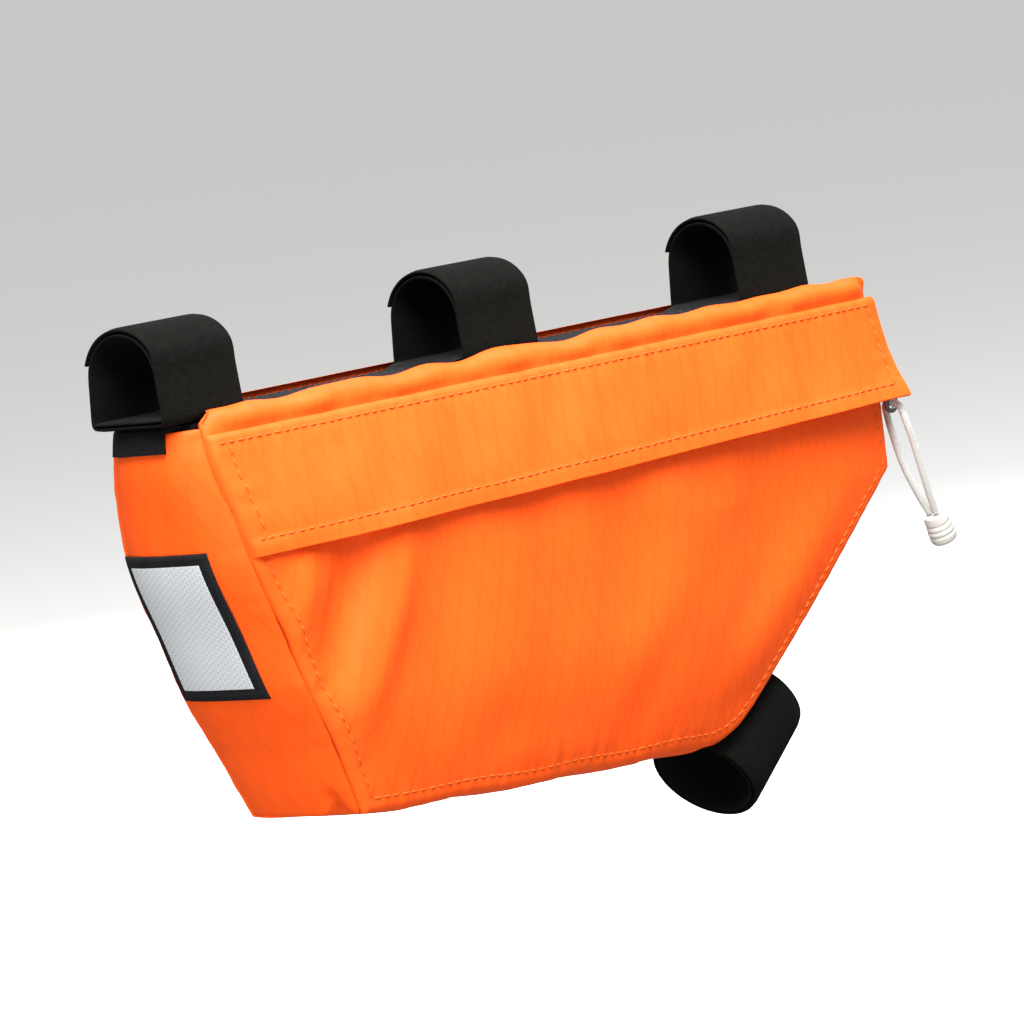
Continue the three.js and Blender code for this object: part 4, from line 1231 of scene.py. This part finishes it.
class FRAMEBAG_OT_straps(bpy.types.Operator):
    """Wraps the hook-and-loop straps round both tubes"""
    bl_idname = "frame_bag.straps"
    bl_label = "Straps"

    def execute(self, context):
        sizes, colours = bag_settings(context)
        pile = loop_pile(colours)
        loop = loop_path(*TOP_LOOP, sizes.strap)
        wraps = [
            (node, point(place, loop[:, 1], -loop[:, 0]), (1, 0, 0)) for node, place in STRAP_PLACES.items()
        ]
        loop = loop_path(*DOWN_LOOP, sizes.strap)
        ahead, rise = math.cos(TUBE_SLOPE), math.sin(TUBE_SLOPE)
        path = point(DOWN_STRAP_X - rise * loop[:, 0], loop[:, 1], DOWN_STRAP_Z + ahead * loop[:, 0])
        wraps.append(("strap_down_tube", path, (ahead, 0, rise)))
        for node, path, along in wraps:
            piece = band_piece("pile_" + node, path, along, sizes.strap_width, sizes.strap)
            fit(piece, pile, "black_strap", node)
        return {"FINISHED"}


class FRAMEBAG_OT_zip(bpy.types.Operator):
    """Makes the zip's tape, its two coils and the slider"""
    bl_idname = "frame_bag.zip"
    bl_label = "Zip"

    def execute(self, context):
        sizes, colours = bag_settings(context)
        self.tape(sizes, colours)
        self.coils(sizes, colours)
        self.slider(colours)
        return {"FINISHED"}

    def zip_point(self, u, up, depth):
        level = ZIP_LEVEL - up / FRONT_HEIGHT
        x, z = outline(u, level)
        return point(x, RIGHT * (half_width(u, level) - depth), z)

    def tape(self, sizes, colours):
        u, up = np.meshgrid(np.linspace(0.003, 0.997, 200), np.linspace(ZIP_TAPE_HALF, -ZIP_TAPE_HALF, 27))
        points = self.zip_point(u, up, sizes.cloth + SEAM_GAP)
        piece = grid_piece("woven_zip_tape", points, point(u * SPAN, up), RIGHTWARDS)
        thicken(piece, sizes.zip_tape)
        fit(piece, woven("Polyester zip tape", colours.zip, 1.0, 0.15, 0.8), "black_zip", "zip_tape")

    def coils(self, sizes, colours):
        sides = 5
        turn = np.linspace(0, ZIP_TURNS * math.tau, ZIP_TURNS * 12)
        u = lerp(ZIP_END, 1 - ZIP_END, turn / turn[-1])
        coils, faces = [], []
        for side in (1, -1):
            up = side * (1.15 - 1.2 * np.cos(turn))
            path = self.zip_point(u, up, 0.75 + 0.42 * np.sin(turn))
            faces += tube_faces(len(path), sides, len(coils) * len(path) * sides)
            coils.append(tube(path, 0.24 * sizes.zip_pitch, sides))
        piece = closed_piece("nylon_zip_coil", np.concatenate(coils), faces)
        fit(piece, moulded("Extruded nylon coil", colours.zip, 0.4, 0.6, 0.03), "black_zip", "zip_coil")

    def slider(self, colours):
        depth = SLIDER_BACK_Y - SLIDER_FRONT_Y
        arc = lambda radius, start, end, count: [
            (3.0 + radius * math.cos(turn), -9.0 + radius * math.sin(turn)) for turn in np.linspace(start, end, count)
        ]
        body = [(-6.5, -2.4), (-3.6, -4.3), (6.2, -4.3), (6.4, 2.0), (3.4, 4.3), (-3.0, 4.3), (-6.5, 2.4)]
        tab = [(-0.4, -3.6), (-0.4, -9.0), *arc(3.4, math.pi, math.tau, 15), (6.4, -3.6)]
        eye = arc(2.0, math.tau, 0, 21)[:-1]
        bridge = [(-3.2, -1.5), (4.2, -1.5), (4.2, 1.5), (-3.2, 1.5)]
        shape = bmesh.new()
        for rings, thick, forward in (([body], 0.8, 0.0), ([tab, eye], 0.62, 0.24), ([bridge], 0.4, 0.6)):
            self.add_plate(shape, rings, depth * thick, depth * forward)
        mesh = bpy.data.meshes.new("cast_slider")
        shape.to_mesh(mesh)
        shape.free()
        material = moulded("Die-cast zinc", colours.slider, 0.36, 0.5, 0.02, metallic=1.0)
        fit(in_scene("cast_slider", mesh), material, "slider_metal", "zip_slider")

    def add_plate(self, shape, rings, thick, forward):
        """Adds a plate with rounded edges, cut out by rings of points in the plane of the side"""
        curve = bpy.data.curves.new("plate", "CURVE")
        curve.dimensions = "2D"
        curve.fill_mode = "BOTH"
        curve.bevel_depth = SLIDER_EDGE * MM
        curve.bevel_resolution = 2
        curve.offset = -0.3 * MM
        curve.extrude = (thick / 2 - SLIDER_EDGE) * MM if thick > 0.7 else 0.02 * MM
        for ring in rings:
            spline = curve.splines.new("POLY")
            spline.points.add(len(ring) - 1)
            spline.points.foreach_set("co", np.array([(x * MM, z * MM, 0, 1) for x, z in ring]).ravel())
            spline.use_cyclic_u = True
        holder = bpy.data.objects.new("plate", curve)
        mesh = bpy.data.meshes.new_from_object(holder)
        place = Vector((SLIDER_PLACE[0], SLIDER_BACK_Y - forward - thick / 2, SLIDER_PLACE[1])) * MM
        mesh.transform(Matrix.Translation(place) @ Matrix.Rotation(math.pi / 2, 4, "X"))
        shape.from_mesh(mesh)
        bpy.data.objects.remove(holder)
        bpy.data.curves.remove(curve)
        bpy.data.meshes.remove(mesh)


class FRAMEBAG_OT_label(bpy.types.Operator):
    """Sews the bare patch with its reflective field on the rear panel"""
    bl_idname = "frame_bag.label"
    bl_label = "Label"

    def execute(self, context):
        sizes, colours = bag_settings(context)
        border = sizes.label_border
        wide, high = LABEL_Y[0] - LABEL_Y[1], LABEL_Z[0] - LABEL_Z[1]
        across, down = np.meshgrid(graded(wide, 1.2), graded(high, 1.2))
        edge = np.minimum(np.minimum(across, 1 - across) * wide, np.minimum(down, 1 - down) * high)
        rim = 0.45 * np.exp(-((edge - border * 0.5) / (border * 0.42)) ** 2) - turned_in(edge, *LABEL_TURN)
        patch = self.on_rear("woven_label", across, down, LABEL_THICK + rim, LABEL_THICK, sizes.cloth)
        material = woven("Woven damask label", colours.label, 1.0, 0.15, 0.8)
        fit(patch, material, "label_cloth", "label_patch")
        inset = border + 0.6
        across, down = np.meshgrid(*(
            lerp(inset, size - inset, graded(size, 1.4)) / size for size in (wide, high)
        ))
        field = self.on_rear("reflective_field", across, down, LABEL_THICK + 0.25, REFLECTOR_THICK, sizes.cloth)
        fit(field, reflective_film(colours), "label_cloth")
        return {"FINISHED"}

    def on_rear(self, name, across, down, out, thick, cloth):
        """A sheet over the rear panel, by shares of the patch's width and height"""
        y, z = lerp(*LABEL_Y, across), lerp(*LABEL_Z, down)
        points = point(rear_face_x(y, z, cloth) - SEAM_GAP - out, y, z)
        piece = grid_piece(name, points, point(LABEL_Y[0] - y, z - LABEL_Z[0]), REARWARDS)
        thicken(piece, thick)
        return piece


class FRAMEBAG_OT_stitching(bpy.types.Operator):
    """Sews the threads along the seams, the hems and the webbing"""
    bl_idname = "frame_bag.stitching"
    bl_label = "Stitching"

    def execute(self, context):
        sizes, colours = bag_settings(context)
        for tone, lines, tint, slot in (
            ("orange", self.orange_lines(sizes), colours.thread, "orange_laminate"),
            ("black", self.black_lines(sizes), colours.black_thread, "black_webbing"),
        ):
            piece = stitch_piece(tone + "_stitching", lines, sizes)
            fit(piece, twisted_thread("Bonded thread, " + tone, tint), slot)
        return {"FINISHED"}

    def inset_seam(self, gap):
        """The side's seam moved in by a gap"""
        line = resampled(SIDE_SEAM, 2.0)
        ahead = unit(np.gradient(line, axis=0))
        moved = line + gap * point(-ahead[:, 1], ahead[:, 0])
        return moved[from_seam(*moved.T, SIDE_SEAM)[0] > gap - 0.4]

    def orange_lines(self, sizes):
        seam = self.inset_seam(sizes.topstitch)
        right, left = (seam[seam[:, 1] < high] for high in (FLAP_HIDES_Z, TOP_Z - 8))
        top = along_u(0.02, 0.98, 0, 200) - np.array([0, TOP_SEWN])
        u = np.linspace(0.006, FLAP_END - 0.003, 240)
        share = np.linspace(0.09, 0.97, 60)
        return [
            sewn_line(lambda a, b: face(a, b, sizes), a, b, way) for face, a, b, way in (
                (flap_face, u, FLAP_TOP_SEWN / FLAP_DROP, RIGHTWARDS),
                (flap_face, u, 1 - sizes.hem / FLAP_DROP, RIGHTWARDS),
                (flap_face, FLAP_REAR_SEWN / SPAN, share, RIGHTWARDS),
                (flap_face, FLAP_END - FLAP_FRONT_SEWN / SPAN, share, RIGHTWARDS),
                (lower_right, *right.T, RIGHTWARDS),
                (whole_left, *left.T, LEFTWARDS),
                (whole_left, *top.T, LEFTWARDS),
            )
        ]

    def black_lines(self, sizes):
        half = sizes.webbing_width / 2 - WEBBING_SEWN
        clear = sizes.strap_width / 2 + 2 * SEAM_GAP + WEBBING_RAMP
        top = lambda x, y: point(x, y, WEBBING_LOW_Z + sizes.webbing - 0.1)
        y = np.linspace(-half, half, 30)
        places = sorted(STRAP_PLACES.values())
        lines = []
        for start, end in zip(places[:-1], places[1:]):
            x = np.linspace(start + clear, end - clear, 80)
            for a, b in ((x, -half), (x, half), (x[0] + 1, y), (x[-1] - 1, y)):
                lines.append(sewn_line(top, a, b, UPWARDS))
        return lines


class FRAMEBAG_PT_panel(bpy.types.Panel):
    """Lists the bag's pieces and their settings"""
    bl_idname = "FRAMEBAG_PT_panel"
    bl_label = "Frame Bag"
    bl_space_type = "VIEW_3D"
    bl_region_type = "UI"
    bl_category = "Frame Bag"

    def draw(self, context):
        for operator in OPERATORS:
            self.layout.operator(operator.bl_idname)
        settings = context.scene.frame_bag
        for group in (settings.sizes, settings.colours):
            column = self.layout.column()
            for name in group.__annotations__:
                column.prop(group, name)


OPERATORS = (
    FRAMEBAG_OT_stage, FRAMEBAG_OT_cord_pull, FRAMEBAG_OT_side_panels, FRAMEBAG_OT_gussets, FRAMEBAG_OT_flap,
    FRAMEBAG_OT_top, FRAMEBAG_OT_straps, FRAMEBAG_OT_zip, FRAMEBAG_OT_label, FRAMEBAG_OT_stitching,
)
CLASSES = (BagSizes, BagColours, FrameBagSettings, *OPERATORS, FRAMEBAG_PT_panel)


def register():
    for cls in CLASSES:
        bpy.utils.register_class(cls)
    bpy.types.Scene.frame_bag = PointerProperty(type=FrameBagSettings)


def unregister():
    del bpy.types.Scene.frame_bag
    for cls in reversed(CLASSES):
        bpy.utils.unregister_class(cls)


def main():
    register()
    bpy.ops.frame_bag.stage()
    bpy.ops.frame_bag.cord_pull()
    bpy.ops.frame_bag.side_panels()
    bpy.ops.frame_bag.gussets()
    bpy.ops.frame_bag.flap()
    bpy.ops.frame_bag.top()
    bpy.ops.frame_bag.straps()
    bpy.ops.frame_bag.zip()
    bpy.ops.frame_bag.label()
    bpy.ops.frame_bag.stitching()


if __name__ == "__main__":
    main()
